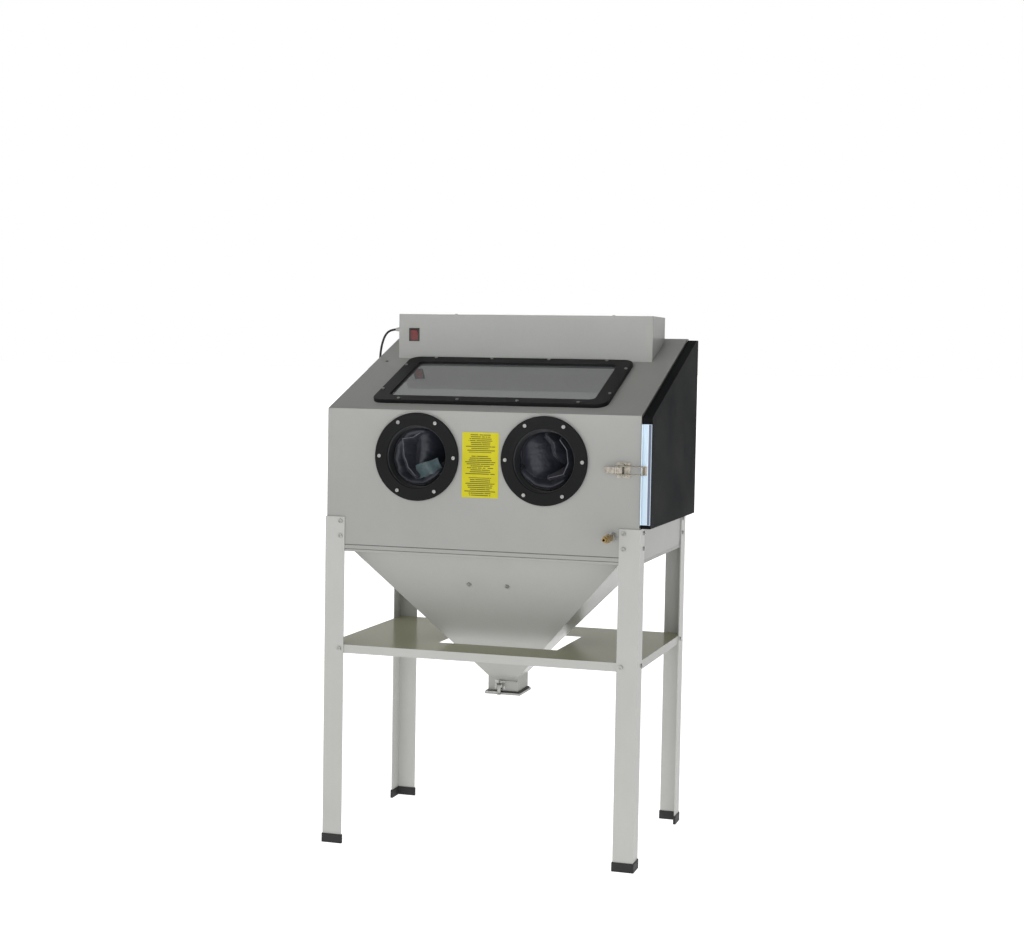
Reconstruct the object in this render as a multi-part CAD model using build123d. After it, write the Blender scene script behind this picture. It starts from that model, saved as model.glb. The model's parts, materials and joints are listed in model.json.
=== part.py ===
from build123d import *
import math
import os

# Sandblast cabinet, millimetres.  +X is to the right of a person standing at the glove ports,
# +Y is to the back, +Z is up and z = 0 is the floor.  The cabinet is drawn about its own middle,
# and save_parts() moves everything so that the origin is under the middle of the bounding box.

# ---- driving dimensions -------------------------------------------------------------------
LEG_X = 475.0            # outer faces of the angle legs, from the middle
LEG_Y = 316.0
LEG_FLANGE = 60.0
LEG_T = 3.0
LEG_TOP = 975.5
LEG_FOOT_GAP = 4.0       # rubber under each leg

CAB_X = LEG_X - LEG_T    # outer faces of the sheet cabinet
CAB_Y = LEG_Y - LEG_T
SHEET = 2.0
Z_BOT = 894.0            # lower edge of the chamber walls
Z_CREASE = 1294.0        # front edge of the slope
Z_TOP = 1519.0
SLOPE_DEG = 20.4
SLOPE_TAN = math.tan(math.radians(SLOPE_DEG))
Y_TOP_CREASE = -CAB_Y + (Z_TOP - Z_CREASE) / SLOPE_TAN
FRAME_BOT = 881.0        # lower face of the angle frame between chamber and hopper

HOP_TOP = FRAME_BOT
HOP_TOP_X = 415.0        # where the hopper's plates leave its flange
HOP_TOP_FRONT = -272.0
HOP_TOP_BACK = 240.0
HOP_BOT = 487.0
SPOUT_X = 47.0
SPOUT_Y = 52.0
SPOUT_BOT = 443.0
HOP_SIDE_T = 2.6         # a plate's thickness measured level

SHELF_TOP = 596.0
SHELF_FLANGE = 25.0
CUT_X0, CUT_X1 = -172.0, 198.0
CUT_Y0, CUT_Y1 = -163.0, 125.0

PORT_X = 192.0           # glove ports
PORT_Z = 1159.0
PORT_HOLE_R = 96.0
RING_R_OUT = 128.0
RING_R_IN = 91.0
RING_T = 7.0
RING_PCD_R = 114.0
RING_SCREWS = 6

WIN_X = 357.5            # window frame, half width, and its reach up the slope
WIN_V0, WIN_V1 = 50.0, 422.0
WIN_RISE = 11.0
OPEN_X = 313.0
OPEN_V0, OPEN_V1 = 91.0, 375.0
GLASS_T = 3.0
GASKET_T = 1.0

BOX_X = 407.0            # light box
BOX_Y0, BOX_Y1 = 94.0, 262.0
BOX_TOP = 1583.0
BOX_T = 1.5
LAMP_Y, LAMP_Z = 178.0, 1531.0
LAMP_R = 13.0
LAMP_X = 300.0
CLIP_SCREW = (-435.0, 400.0)   # on the slope beside the lead

DOOR_X0, DOOR_X1 = 475.0, 503.0
DOOR_Z0 = 978.0
DOOR_IN = 4.5            # how far the door's slope lies under the cabinet's
DOOR_Y = 312.0
FRAME_W = 42.0           # width of the sheet round the door opening
HINGE_X, HINGE_Y = 473.5, 319.6
HINGE_R = 4.5
HINGE_PIN_R = 2.0
HINGE_Z = (1052.0, 1438.0)
HINGE_LEN = 90.0

LATCH_Z = 1141.0
LATCH_X = 420.0          # pivot of the lever
LATCH_Y = -325.0
BAIL_X = LATCH_X - 15.0  # pivot of the wire bail on the lever
BAIL_Y = -330.0
BAIL_R = 1.6
BAIL_END_X = 480.5
STRIP_Y = -320.0         # front of the door's edge strip

INLET_X, INLET_Z = 394.0, 951.0
EXHAUST_X, EXHAUST_Z, EXHAUST_R = 220.0, 1240.0, 50.0

TRAP_HINGE_Y, TRAP_HINGE_Z = 60.0, 447.0
TRAP_LATCH_X, TRAP_LATCH_Y, TRAP_LATCH_Z = -8.0, -64.0, 460.0

SWITCH_X, SWITCH_Z = -356.0, 1519.0
GLAND_Y, GLAND_Z = 125.0, 1535.0

GRATE_Z0, GRATE_Z1 = 884.0, 902.0
GRATE_X, GRATE_Y = 455.0, 296.0
GUN_X = -30.0
GUN_Z = GRATE_Z1 + 15.1
GUN_PIVOT = (GUN_X + 8.0, -50.0)

RUN = 0.06               # radial clearance of a pin that turns
CORD_R = 3.5
COIL_Y, COIL_Z = 160.0, 1300.0
COIL_X = -482.0
COIL_R = 40.0            # middle of the turns
COIL_HALF_W = 7.5
COIL_HALF_R = 10.5

SLOPE = Plane(origin=(0, -CAB_Y, Z_CREASE), x_dir=(1, 0, 0),
              z_dir=(0, -math.sin(math.radians(SLOPE_DEG)), math.cos(math.radians(SLOPE_DEG))))


# ---- helpers ------------------------------------------------------------------------------
def block(x0, x1, y0, y1, z0, z1):
    return Pos((x0 + x1) / 2, (y0 + y1) / 2, (z0 + z1) / 2) * Box(x1 - x0, y1 - y0, z1 - z0)


def rod(start, end, radius):
    """A round bar from start to end."""
    a, b = Vector(*start), Vector(*end)
    face = Plane(origin=a, z_dir=(b - a).normalized()) * Circle(radius)
    return extrude(face, (b - a).length)


def tube(start, end, r_out, r_in):
    return rod(start, end, r_out) - rod(start, end, r_in)


def hex_bar(start, end, across_flats):
    a, b = Vector(*start), Vector(*end)
    face = Plane(origin=a, z_dir=(b - a).normalized())
    face *= RegularPolygon(across_flats / 2, 6, major_radius=False)
    return extrude(face, (b - a).length)


def prism_x(points_yz, x0, x1):
    """A Y-Z outline drawn from x0 to x1."""
    outline = Plane.YZ.offset(x0) * Polyline(*points_yz, close=True)
    return extrude(make_face(outline), x1 - x0, dir=(1, 0, 0))


def prism_z(points_xy, z0, z1):
    outline = Plane.XY.offset(z0) * Polyline(*points_xy, close=True)
    return extrude(make_face(outline), z1 - z0, dir=(0, 0, 1))


def mirror_x(shape):
    return mirror(shape, about=Plane.YZ)


def on_slope(u, v, w, length, width, height):
    """A block whose middle is at u, v on the slope and w above it."""
    return SLOPE * Pos(u, v, w) * Box(length, width, height)


def polyhedron(corners, faces):
    shell = Shell([Face(Wire.make_polygon([corners[i] for i in f], close=True)) for f in faces])
    return Solid(shell)


def join(shapes):
    shapes = list(shapes)
    whole = shapes[0]
    for shape in shapes[1:]:
        whole = whole + shape
    return whole


def group(shapes):
    """Separate pieces that share one node."""
    solids = []
    for shape in shapes:
        solids += list(shape.solids())
    return Compound(solids)


def side_outline(half_y, z_bottom, z_crease, z_top, inset):
    """Upright front, slope, level top and upright back, all but the bottom moved in by inset."""
    y_front, y_back = -half_y + inset, half_y - inset
    z_front = z_crease + inset * SLOPE_TAN - inset / math.cos(math.radians(SLOPE_DEG))
    y_top = y_front + (z_top - inset - z_front) / SLOPE_TAN
    outline = [(y_front, z_bottom), (y_front, z_front)]
    if y_top < y_back:
        outline += [(y_top, z_top - inset), (y_back, z_top - inset)]
    else:
        outline += [(y_back, z_front + (y_back - y_front) * SLOPE_TAN)]
    return outline + [(y_back, z_bottom)]


def chamber_outline(inset, z_bottom=Z_BOT):
    return side_outline(CAB_Y, z_bottom, Z_CREASE, Z_TOP, inset)


def slope_z(y):
    return Z_CREASE + (y + CAB_Y) * SLOPE_TAN


# ---- bolts that hold the legs, the shelf and the pick-up tube's bracket ---------------------------
def leg_bolt_places():
    """Start and outward direction of every leg bolt, on the legs' outer faces."""
    places = []
    for sx in (-1, 1):
        for sy in (-1, 1):
            side_y = -264.0 if sy < 0 else 276.0
            for z in (962.0, 918.0, 584.0):
                places.append(((sx * 428.0, sy * LEG_Y, z), (0, sy, 0)))
                places.append(((sx * LEG_X, side_y, z), (sx, 0, 0)))
    return places


def hopper_bolt_places():
    """Two bolts through the hopper's front plate, square to it."""
    fall = HOP_TOP - HOP_BOT
    reach = -SPOUT_Y - HOP_TOP_FRONT
    length = math.hypot(fall, reach)
    down = HOP_TOP - 783.5
    y = HOP_TOP_FRONT + reach * down / fall
    return [((x, y, HOP_TOP - down), (0, -fall / length, -reach / length)) for x in (-58.5, 58.5)]


def along(start, direction, distance):
    return tuple(start[i] + direction[i] * distance for i in range(3))


def bolt(start, direction, grip):
    """Socket button head, shank and a nut against the back of the sheets, which are grip thick."""
    head = rod(start, along(start, direction, 3.4), 6.2)
    head -= rod(along(start, direction, 1.8), along(start, direction, 3.4), 2.4)
    shank = rod(along(start, direction, -grip - 5.8), start, 3.0)
    nut = hex_bar(along(start, direction, -grip - 4.8), along(start, direction, -grip), 10)
    return head + shank + nut


def frame_bolts():
    bolts = [bolt(start, direction, LEG_T + SHEET + 0.2) for start, direction in leg_bolt_places()]
    bolts += [bolt(start, direction, HOP_SIDE_T) for start, direction in hopper_bolt_places()]
    return group(bolts)


def bolt_holes(places):
    return join(rod(along(s, d, -6), along(s, d, 1), 3.2) for s, d in places)


BOLT_HOLES = bolt_holes(leg_bolt_places())


# ---- chamber ---------------------------------------------------------------------------------
def wrap():
    """Front, slope, top and back as one folded sheet, before it is divided into panels."""
    return prism_x(chamber_outline(0), -CAB_X + SHEET, CAB_X - SHEET) - prism_x(
        chamber_outline(SHEET, Z_BOT - 1), -CAB_X, CAB_X)


def front_panel(sheet):
    panel = sheet & block(-CAB_X, CAB_X, -CAB_Y, -CAB_Y + SHEET, Z_BOT, Z_CREASE + 9)
    for sx in (-1, 1):
        panel -= rod((sx * PORT_X, -CAB_Y - 1, PORT_Z), (sx * PORT_X, -CAB_Y + 3, PORT_Z), PORT_HOLE_R)
        for x, z in ring_screw_places(sx):
            panel -= rod((x, -CAB_Y - 1, z), (x, -CAB_Y + 3, z), 2.7)
    panel -= rod((INLET_X, -CAB_Y - 1, INLET_Z), (INLET_X, -CAB_Y + 3, INLET_Z), 7.2)
    return panel - BOLT_HOLES


def slope_panel(sheet):
    panel = sheet & block(-CAB_X, CAB_X, -CAB_Y + SHEET, CAB_Y - SHEET, Z_CREASE - 9, Z_TOP + 1)
    panel -= on_slope(0, (OPEN_V0 + OPEN_V1) / 2, 0, 2 * OPEN_X, OPEN_V1 - OPEN_V0, 12)
    panel -= on_slope(0, 525, 0, 600, 130, 12)
    for u, v in window_screw_places() + [CLIP_SCREW]:
        panel -= SLOPE * Pos(u, v, 0) * Cylinder(2.2, 12)
    return panel


def back_panel(sheet):
    panel = sheet & block(-CAB_X, CAB_X, CAB_Y - SHEET, CAB_Y, Z_BOT, Z_TOP)
    panel -= rod((EXHAUST_X, CAB_Y - 5, EXHAUST_Z), (EXHAUST_X, CAB_Y + 1, EXHAUST_Z), EXHAUST_R - 2)
    return panel - BOLT_HOLES


def left_panel():
    return prism_x(chamber_outline(0), -CAB_X, -CAB_X + SHEET) - BOLT_HOLES


def door_frame():
    """The right-hand wall, open where the door gives access."""
    opening = chamber_outline(FRAME_W, DOOR_Z0 + 34)
    wall = prism_x(chamber_outline(0), CAB_X - SHEET, CAB_X)
    return wall - prism_x(opening, CAB_X - 5, CAB_X + 1) - BOLT_HOLES


def bottom_frame():
    """Four angle bars with mitred ends, between the chamber and the hopper; the grate rests on them."""
    gap = 0.1
    ledge = 36.0
    x, y = CAB_X - 1, CAB_Y - 1
    z0, z1 = FRAME_BOT, Z_BOT
    ring = block(-x, x, -y, y, z0, z1) - block(-x + 3, x - 3, -y + 3, y - 3, z0 + 3, z1 + 1)
    ring -= block(-x + ledge, x - ledge, -y + ledge, y - ledge, z0 - 1, z1)
    in_x, in_y = x - ledge - 20, y - ledge - 20
    front = prism_z([(gap - x, -y), (x - gap, -y), (in_x - gap, -in_y), (gap - in_x, -in_y)], z0, z1)
    side = prism_z([(-x, gap - y), (-x, y - gap), (-in_x, in_y - gap), (-in_x, gap - in_y)], z0, z1)
    bars = [ring & front, ring & mirror(front, about=Plane.XZ), ring & side, ring & mirror_x(side)]
    return group(bars)


# ---- hopper ------------------------------------------------------------------------------------
def hopper_plate(outer_top, outer_bot, inner_top, inner_bot):
    """One sloping plate: its four edges as pairs of points, outside and inside."""
    corners = outer_top + outer_bot + inner_top + inner_bot
    faces = [(0, 1, 3, 2), (4, 5, 7, 6), (0, 1, 5, 4), (2, 3, 7, 6), (0, 2, 6, 4), (1, 3, 7, 5)]
    return polyhedron(corners, faces)


def hopper():
    """Four folded plates, each with its strip of the flange and the lip that turns down round it."""
    gap = 0.1
    t = HOP_SIDE_T
    z1, z0 = HOP_TOP, HOP_BOT
    lip_x, lip_y = CAB_X - 0.5, CAB_Y - 0.5
    flange_t, lip_h = 2.0, 7.0
    plates = []
    for sy, top in ((-1, HOP_TOP_FRONT), (1, HOP_TOP_BACK)):
        bot = sy * SPOUT_Y

        def edge(half, y, z):
            return [(-half + gap, y, z), (half - gap, y, z)]
        plate = hopper_plate(edge(HOP_TOP_X, top, z1), edge(SPOUT_X, bot, z0),
                             edge(HOP_TOP_X - t, top - sy * t, z1), edge(SPOUT_X - t, bot - sy * t, z0))
        strip = prism_z([(gap - lip_x, sy * lip_y), (lip_x - gap, sy * lip_y),
                         (HOP_TOP_X - t - gap, top - sy * t), (gap + t - HOP_TOP_X, top - sy * t)],
                        z1 - flange_t, z1)
        y0, y1 = sorted((sy * lip_y, sy * (lip_y - 2)))
        lip = block(-lip_x + 3, lip_x - 3, y0, y1, z1 - lip_h, z1 - flange_t)
        whole = plate + strip + lip
        if sy < 0:
            whole -= bolt_holes(hopper_bolt_places())
        plates.append(whole)
    top, bot = (HOP_TOP_FRONT, HOP_TOP_BACK), (-SPOUT_Y, SPOUT_Y)

    def side_edge(x, pair, inset, z):
        return [(x, pair[0] + inset + gap, z), (x, pair[1] - inset - gap, z)]
    plate = hopper_plate(side_edge(-HOP_TOP_X, top, 0, z1), side_edge(-SPOUT_X, bot, 0, z0),
                         side_edge(-HOP_TOP_X + t, top, t, z1), side_edge(-SPOUT_X + t, bot, t, z0))
    strip = prism_z([(-lip_x, -lip_y + gap), (-lip_x, lip_y - gap), (-HOP_TOP_X + t, HOP_TOP_BACK - t - gap),
                     (-HOP_TOP_X + t, HOP_TOP_FRONT + t + gap)], z1 - flange_t, z1)
    lip = block(-lip_x, -lip_x + 2, -lip_y + 3, lip_y - 3, z1 - lip_h, z1 - flange_t)
    side = plate + strip + lip
    return group(plates + [side, mirror_x(side)])


def hopper_spout():
    spout = block(-SPOUT_X, SPOUT_X, -SPOUT_Y, SPOUT_Y, SPOUT_BOT, HOP_BOT)
    return spout - block(-SPOUT_X + 2, SPOUT_X - 2, -SPOUT_Y + 2, SPOUT_Y - 2, SPOUT_BOT - 1, HOP_BOT + 1)


def pickup_tube():
    """The rigid media pick-up tube that leans up the inside of the hopper."""
    return tube((-58, 30, 520), (-318, 120, 862), 10, 8)


def trap_door():
    """The flap under the spout, with the arms that reach back to its hinge."""
    plate = block(-56, 56, -60, 59, 432, 438.5) - block(-54, 54, -58, 57, 431, 435.5)
    for x in (-30, 22):
        plate += block(x, x + 8, 57, TRAP_HINGE_Y + 4, 434, 440)
        plate += block(x, x + 8, TRAP_HINGE_Y - 1, TRAP_HINGE_Y + 4, 438, TRAP_HINGE_Z)
        plate += rod((x, TRAP_HINGE_Y, TRAP_HINGE_Z), (x + 8, TRAP_HINGE_Y, TRAP_HINGE_Z), 4)
    return plate - rod((-60, TRAP_HINGE_Y, TRAP_HINGE_Z), (60, TRAP_HINGE_Y, TRAP_HINGE_Z), 1.5 + RUN)


def trap_seal():
    return block(-52, 52, -57, 55.5, 438.5, SPOUT_BOT - 0.15)


def trap_hinge():
    """Fixed knuckles on the back of the spout, with their pin."""
    pieces = []
    for x in (-37, 15):
        for x0 in (x, x + 15.4):
            knuckle = block(x0, x0 + 6.6, SPOUT_Y, TRAP_HINGE_Y, TRAP_HINGE_Z - 2, TRAP_HINGE_Z + 12)
            knuckle += rod((x0, TRAP_HINGE_Y, TRAP_HINGE_Z), (x0 + 6.6, TRAP_HINGE_Y, TRAP_HINGE_Z), 4)
            pieces.append(knuckle)
    pin = rod((-38, TRAP_HINGE_Y, TRAP_HINGE_Z), (38, TRAP_HINGE_Y, TRAP_HINGE_Z), 1.5)
    return join(pieces + [pin])


def trap_latch_base():
    """Plate with two ears and the bent wire keeper that runs along the spout."""
    x, y, z = TRAP_LATCH_X, TRAP_LATCH_Y, TRAP_LATCH_Z
    front = -SPOUT_Y
    base = block(x - 18, x + 16, front - 2, front, z - 12, z + 16)
    for x0 in (x - 9.5, x + 6.5):
        base += block(x0, x0 + 3, y - 5, front - 2, z - 5, z + 5)
    base += rod((x - 11, y, z), (x + 11, y, z), 2)
    wire_z = z + 14
    base += rod((x - 4, front - 5, z + 5), (x - 4, front - 5, wire_z), 1.5)
    base += rod((x - 4, front - 5, z + 7), (x - 4, front - 1, z + 7), 1.5)
    base += rod((x - 4, front - 5, wire_z), (SPOUT_X - 4, front - 5, wire_z), 1.5)
    base += Pos(x - 4, front - 5, wire_z) * Sphere(1.5)
    base += Pos(SPOUT_X - 4, front - 5, wire_z) * Sphere(1.5)
    return base + rod((SPOUT_X - 4, front - 5, wire_z), (SPOUT_X - 4, front, wire_z), 1.5)


def trap_latch():
    """The hook that turns on the base's pin, with its finger tab and side handle."""
    x, y, z = TRAP_LATCH_X, TRAP_LATCH_Y, TRAP_LATCH_Z
    hook = rod((x - 6, y, z), (x + 6, y, z), 4.5)
    hook += block(x - 5, x + 5, y - 4, y, z - 24, z)
    hook += block(x - 5, x + 5, y - 10, y, z - 27, z - 24)
    hook += rod((x - 34, y - 3, z - 19), (x - 5, y - 3, z - 19), 2.5)
    hook += rod((x - 42, y - 3, z - 19), (x - 33, y - 3, z - 19), 4)
    return hook - rod((x - 7, y, z), (x + 7, y, z), 2 + RUN)


# ---- legs, feet and shelf --------------------------------------------------------------------
def leg(sx, sy):
    x, y = sx * LEG_X, sy * LEG_Y
    xs = sorted((x, x - sx * LEG_FLANGE))
    ys = sorted((y, y - sy * LEG_T))
    flange = block(xs[0], xs[1], ys[0], ys[1], LEG_FOOT_GAP, LEG_TOP)
    xs = sorted((x, x - sx * LEG_T))
    ys = sorted((y, y - sy * LEG_FLANGE))
    return flange + block(xs[0], xs[1], ys[0], ys[1], LEG_FOOT_GAP, LEG_TOP) - BOLT_HOLES


def foot(sx, sy):
    """A rubber boot round the end of an angle leg."""
    wall, high = 2.4, 27.0
    x, y = sx * (LEG_X + wall), sy * (LEG_Y + wall)
    outer, deep = LEG_FLANGE + 2 * wall, LEG_T + 2 * wall

    def angle(inset, z0, z1):
        x0, x1 = sorted((x - sx * inset, x - sx * (outer - inset)))
        y0, y1 = sorted((y - sy * inset, y - sy * (deep - inset)))
        one = block(x0, x1, y0, y1, z0, z1)
        x0, x1 = sorted((x - sx * inset, x - sx * (deep - inset)))
        y0, y1 = sorted((y - sy * inset, y - sy * (outer - inset)))
        return one + block(x0, x1, y0, y1, z0, z1)
    return angle(0, 0, high) - angle(wall, LEG_FOOT_GAP, high + 1)


def shelf():
    x, y = LEG_X - LEG_T - 0.1, LEG_Y - LEG_T - 0.1
    z0 = SHELF_TOP - SHELF_FLANGE
    tray = block(-x, x, -y, y, z0, SHELF_TOP)
    tray -= block(SHEET - x, x - SHEET, SHEET - y, y - SHEET, z0 - 1, SHELF_TOP - SHEET)
    return tray - block(CUT_X0, CUT_X1, CUT_Y0, CUT_Y1, SHELF_TOP - 5, SHELF_TOP + 5) - BOLT_HOLES


# ---- glove ports -------------------------------------------------------------------------------
def ring_screw_places(sx):
    step = 360.0 / RING_SCREWS
    angles = [math.radians(i * step) for i in range(RING_SCREWS)]
    return [(sx * PORT_X + RING_PCD_R * math.cos(a), PORT_Z + RING_PCD_R * math.sin(a)) for a in angles]


CUFF_T = 1.5


def glove_ring(sx):
    y = -CAB_Y - CUFF_T
    ring = tube((sx * PORT_X, y - RING_T, PORT_Z), (sx * PORT_X, y, PORT_Z), RING_R_OUT, RING_R_IN)
    ring = chamfer(ring.edges().filter_by(GeomType.CIRCLE).group_by(Axis.Y)[0], 1.5)
    for x, z in ring_screw_places(sx):
        ring -= rod((x, y - RING_T - 1, z), (x, y + 1, z), 2.7)
    return ring


def glove_ring_screws():
    screws = []
    for sx in (-1, 1):
        for x, z in ring_screw_places(sx):
            face = -CAB_Y - CUFF_T - RING_T
            head = rod((x, face - 3, z), (x, face, z), 5.2)
            head -= rod((x, face - 3, z), (x, face - 1.4, z), 1.8)
            screws.append(head + rod((x, face, z), (x, -CAB_Y + 9, z), 2.5)
                          + hex_bar((x, -CAB_Y + SHEET, z), (x, -CAB_Y + SHEET + 4, z), 8))
    return group(screws)


SLEEVE = [(-CAB_Y, PORT_Z, 90.0), (-210.0, PORT_Z - 8, 82.0), (-90.0, PORT_Z - 30, 66.0),
          (20.0, PORT_Z - 60, 54.0), (90.0, PORT_Z - 82, 50.0), (160.0, PORT_Z - 100, 28.0)]   # y, z, radius
GLOVE_WALL = 2.0


def tapered_run(x, sections):
    """One smooth skin through round sections along Y."""
    return loft([Plane(origin=(x, y, z), z_dir=(0, 1, 0)) * Circle(r) for y, z, r in sections])


def glove(sx):
    """Cuff flange, tapering sleeve and a closed mitt that stands for the hand."""
    x = sx * PORT_X
    inner = [(y, z, r - GLOVE_WALL) for y, z, r in SLEEVE]
    inner[0] = (-CAB_Y - 3, PORT_Z, inner[0][2])
    inner[-1] = (SLEEVE[-1][0] - GLOVE_WALL, SLEEVE[-1][1], inner[-1][2])
    cuff = tube((x, -CAB_Y - CUFF_T, PORT_Z), (x, -CAB_Y, PORT_Z), RING_R_OUT - 6, SLEEVE[0][2] - GLOVE_WALL)
    for screw_x, screw_z in ring_screw_places(sx):
        cuff -= rod((screw_x, -CAB_Y - 3, screw_z), (screw_x, -CAB_Y + 1, screw_z), 2.7)
    return cuff + tapered_run(x, SLEEVE) - tapered_run(x, inner)


# ---- window ------------------------------------------------------------------------------------
def window_screw_places():
    places = [(u, v) for u in (-273.0, -91.0, 91.0, 273.0) for v in (WIN_V0 + 13, WIN_V1 - 11)]
    return places + [(u, v) for u in (-348.0, 348.0) for v in (137.0, 343.0)]


def slope_slab(half_x, v0, v1, w0, w1, radius):
    outline = SLOPE * Pos(0, (v0 + v1) / 2, w0) * RectangleRounded(2 * half_x, v1 - v0, radius)
    return extrude(outline, w1 - w0, dir=tuple(SLOPE.z_dir))


def window_frame():
    """A deep clamp frame: its rim stands on the sheet and its lip holds the glass down."""
    frame = slope_slab(WIN_X, WIN_V0, WIN_V1, 0, WIN_RISE, 34)
    frame -= slope_slab(OPEN_X, OPEN_V0, OPEN_V1, -1, WIN_RISE + 1, 16)
    frame -= slope_slab(OPEN_X + 14, OPEN_V0 - 14, OPEN_V1 + 14, -1, GASKET_T + GLASS_T, 12)
    top_face = frame.faces().sort_by(lambda f: f.center().dot(Vector(*SLOPE.z_dir)))[-1]
    frame = fillet(top_face.edges(), 2.5)
    for u, v in window_screw_places():
        frame -= SLOPE * Pos(u, v, 0) * Cylinder(2.2, 40)
    return frame


def window_glass():
    return slope_slab(OPEN_X + 12, OPEN_V0 - 12, OPEN_V1 + 12, GASKET_T, GASKET_T + GLASS_T, 10)


def window_gasket():
    return (slope_slab(OPEN_X + 12, OPEN_V0 - 12, OPEN_V1 + 12, 0, GASKET_T, 10)
            - slope_slab(OPEN_X, OPEN_V0, OPEN_V1, -1, GASKET_T + 1, 4))


def slope_screw(u, v, foot, top):
    """A pan-head screw square to the slope, from foot to the underside of its head at top."""
    head = SLOPE * Pos(u, v, top + 1.4) * Cylinder(4.6, 2.8)
    head -= SLOPE * Pos(u, v, top + 2.4) * Cylinder(1.7, 1.2)
    return head + SLOPE * Pos(u, v, (foot + top) / 2) * Cylinder(2.0, top - foot)


def window_screws():
    return group([slope_screw(u, v, -6.0, WIN_RISE) for u, v in window_screw_places()])


# ---- light box ---------------------------------------------------------------------------------
def light_box():
    """Sheet cover that stands on the slope, open underneath."""
    y0, y1, t = BOX_Y0, BOX_Y1, BOX_T
    outside = prism_x([(y0, slope_z(y0)), (y0, BOX_TOP), (y1, BOX_TOP), (y1, slope_z(y1))], -BOX_X, BOX_X)
    inside = prism_x([(y0 + t, slope_z(y0) - 9), (y0 + t, BOX_TOP - t), (y1 - t, BOX_TOP - t),
                      (y1 - t, slope_z(y1) - 9)], -BOX_X + t, BOX_X - t)
    cover = outside - inside
    cover -= block(SWITCH_X - 14.1, SWITCH_X + 14.1, y0 - 1, y0 + 3, SWITCH_Z - 18.1, SWITCH_Z + 18.1)
    cover -= rod((-BOX_X - 1, GLAND_Y, GLAND_Z), (-BOX_X + 3, GLAND_Y, GLAND_Z), 6.1)
    for x, y in light_box_screw_places():
        cover -= rod((x, y, BOX_TOP - 3), (x, y, BOX_TOP + 1), 2.1)
    return cover


def light_box_screw_places():
    return [(-222, 106), (282, 106), (-222, 250), (282, 250)]


def light_box_screws():
    """The four on the cover, and the one on the slope beside the lead."""
    screws = [slope_screw(*CLIP_SCREW, -6.0, 0.0)]
    for x, y in light_box_screw_places():
        head = rod((x, y, BOX_TOP), (x, y, BOX_TOP + 2.2), 4.2)
        screws.append(head + rod((x, y, BOX_TOP - 8), (x, y, BOX_TOP), 2.0))
    return group(screws)


def lamp_glass():
    """The pane under the lamp, which keeps the grit out of the light box."""
    return on_slope(0, 525, 2, 640, 144, 4)


def lamp_tube():
    glass = rod((-LAMP_X, LAMP_Y, LAMP_Z), (LAMP_X, LAMP_Y, LAMP_Z), LAMP_R)
    for sx in (-1, 1):
        for dy in (-6, 6):
            glass += rod((sx * LAMP_X, LAMP_Y + dy, LAMP_Z), (sx * (LAMP_X + 7), LAMP_Y + dy, LAMP_Z), 1.2)
    return glass


def lamp_holders():
    holders = []
    for sx in (-1, 1):
        x0, x1 = sorted((sx * (LAMP_X + 0.5), sx * (LAMP_X + 18)))
        holder = block(x0, x1, LAMP_Y - 14, LAMP_Y + 14, LAMP_Z - 14, 1566)
        for dy in (-6, 6):
            holder -= rod((sx * LAMP_X, LAMP_Y + dy, LAMP_Z), (sx * (LAMP_X + 9), LAMP_Y + dy, LAMP_Z), 1.3)
        holders.append(holder)
    return group(holders)


def lamp_reflector():
    """Folded white sheet over the tube, hung from the top of the light box."""
    under = [(-64, 1546), (-34, 1566), (34, 1566), (64, 1546)]
    over = [(64, 1548), (35, 1568), (-35, 1568), (-64, 1548)]
    outline = [(LAMP_Y + y, z) for y, z in under + over]
    sheet = prism_x(outline, -340, 340)
    for x in (-200, 200):
        sheet += block(x - 10, x + 10, LAMP_Y - 10, LAMP_Y + 10, 1568, BOX_TOP - BOX_T)
    return sheet


def switch_bezel():
    """Snap-in switch housing with its front flange."""
    x, z, y = SWITCH_X, SWITCH_Z, BOX_Y0
    body = block(x - 14, x + 14, y, y + 24, z - 18, z + 18)
    body += block(x - 17, x + 17, y - 2.5, y, z - 20.5, z + 20.5)
    body -= block(x - 12.2, x + 12.2, y - 4, y + 21, z - 16.8, z + 16.8)
    return body - rod((x - 13.6, y + 6, z), (x + 13.6, y + 6, z), 1.5 + RUN)


ROCKER_TILT = 8.0


def switch_rocker():
    """The two faces meet at a shallow angle; at rest the lower half is pressed in."""
    x, z, y = SWITCH_X, SWITCH_Z, BOX_Y0
    lean = math.tan(math.radians(ROCKER_TILT))
    half = 15.2
    outline = [(y - 1.2 - half * lean, z - half), (y - 1.2, z), (y - 1.2 - half * lean, z + half),
               (y + 8, z + half * 0.6), (y + 10, z), (y + 8, z - half * 0.6)]
    body = prism_x(outline, x - 11.6, x + 11.6) + rod((x - 13.2, y + 6, z), (x + 13.2, y + 6, z), 1.5)
    pivot = Axis((x, y + 6, z), (1, 0, 0))
    return body.rotate(pivot, ROCKER_TILT)


def cable_gland():
    """Moulded gland: locknut inside, hexagon outside, tapering to the cord."""
    def at(x):
        return (x, GLAND_Y, GLAND_Z)
    gland = rod(at(-BOX_X), at(-BOX_X + 14), 6.0) + hex_bar(at(-BOX_X + BOX_T), at(-BOX_X + BOX_T + 5), 18)
    gland += hex_bar(at(-BOX_X - 6), at(-BOX_X), 17)
    sections = [Plane(origin=at(-BOX_X - 6), z_dir=(-1, 0, 0)) * Circle(7.6),
                Plane(origin=at(-BOX_X - 22), z_dir=(-1, 0, 0)) * Circle(4.8)]
    gland += loft(sections)
    return gland - rod(at(-BOX_X - 23), at(-BOX_X + 15), CORD_R)


# ---- door ----------------------------------------------------------------------------------------
def door_outline(inset):
    return side_outline(DOOR_Y, DOOR_Z0 + inset, slope_z(-DOOR_Y) - DOOR_IN, Z_TOP - DOOR_IN, inset)


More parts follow.
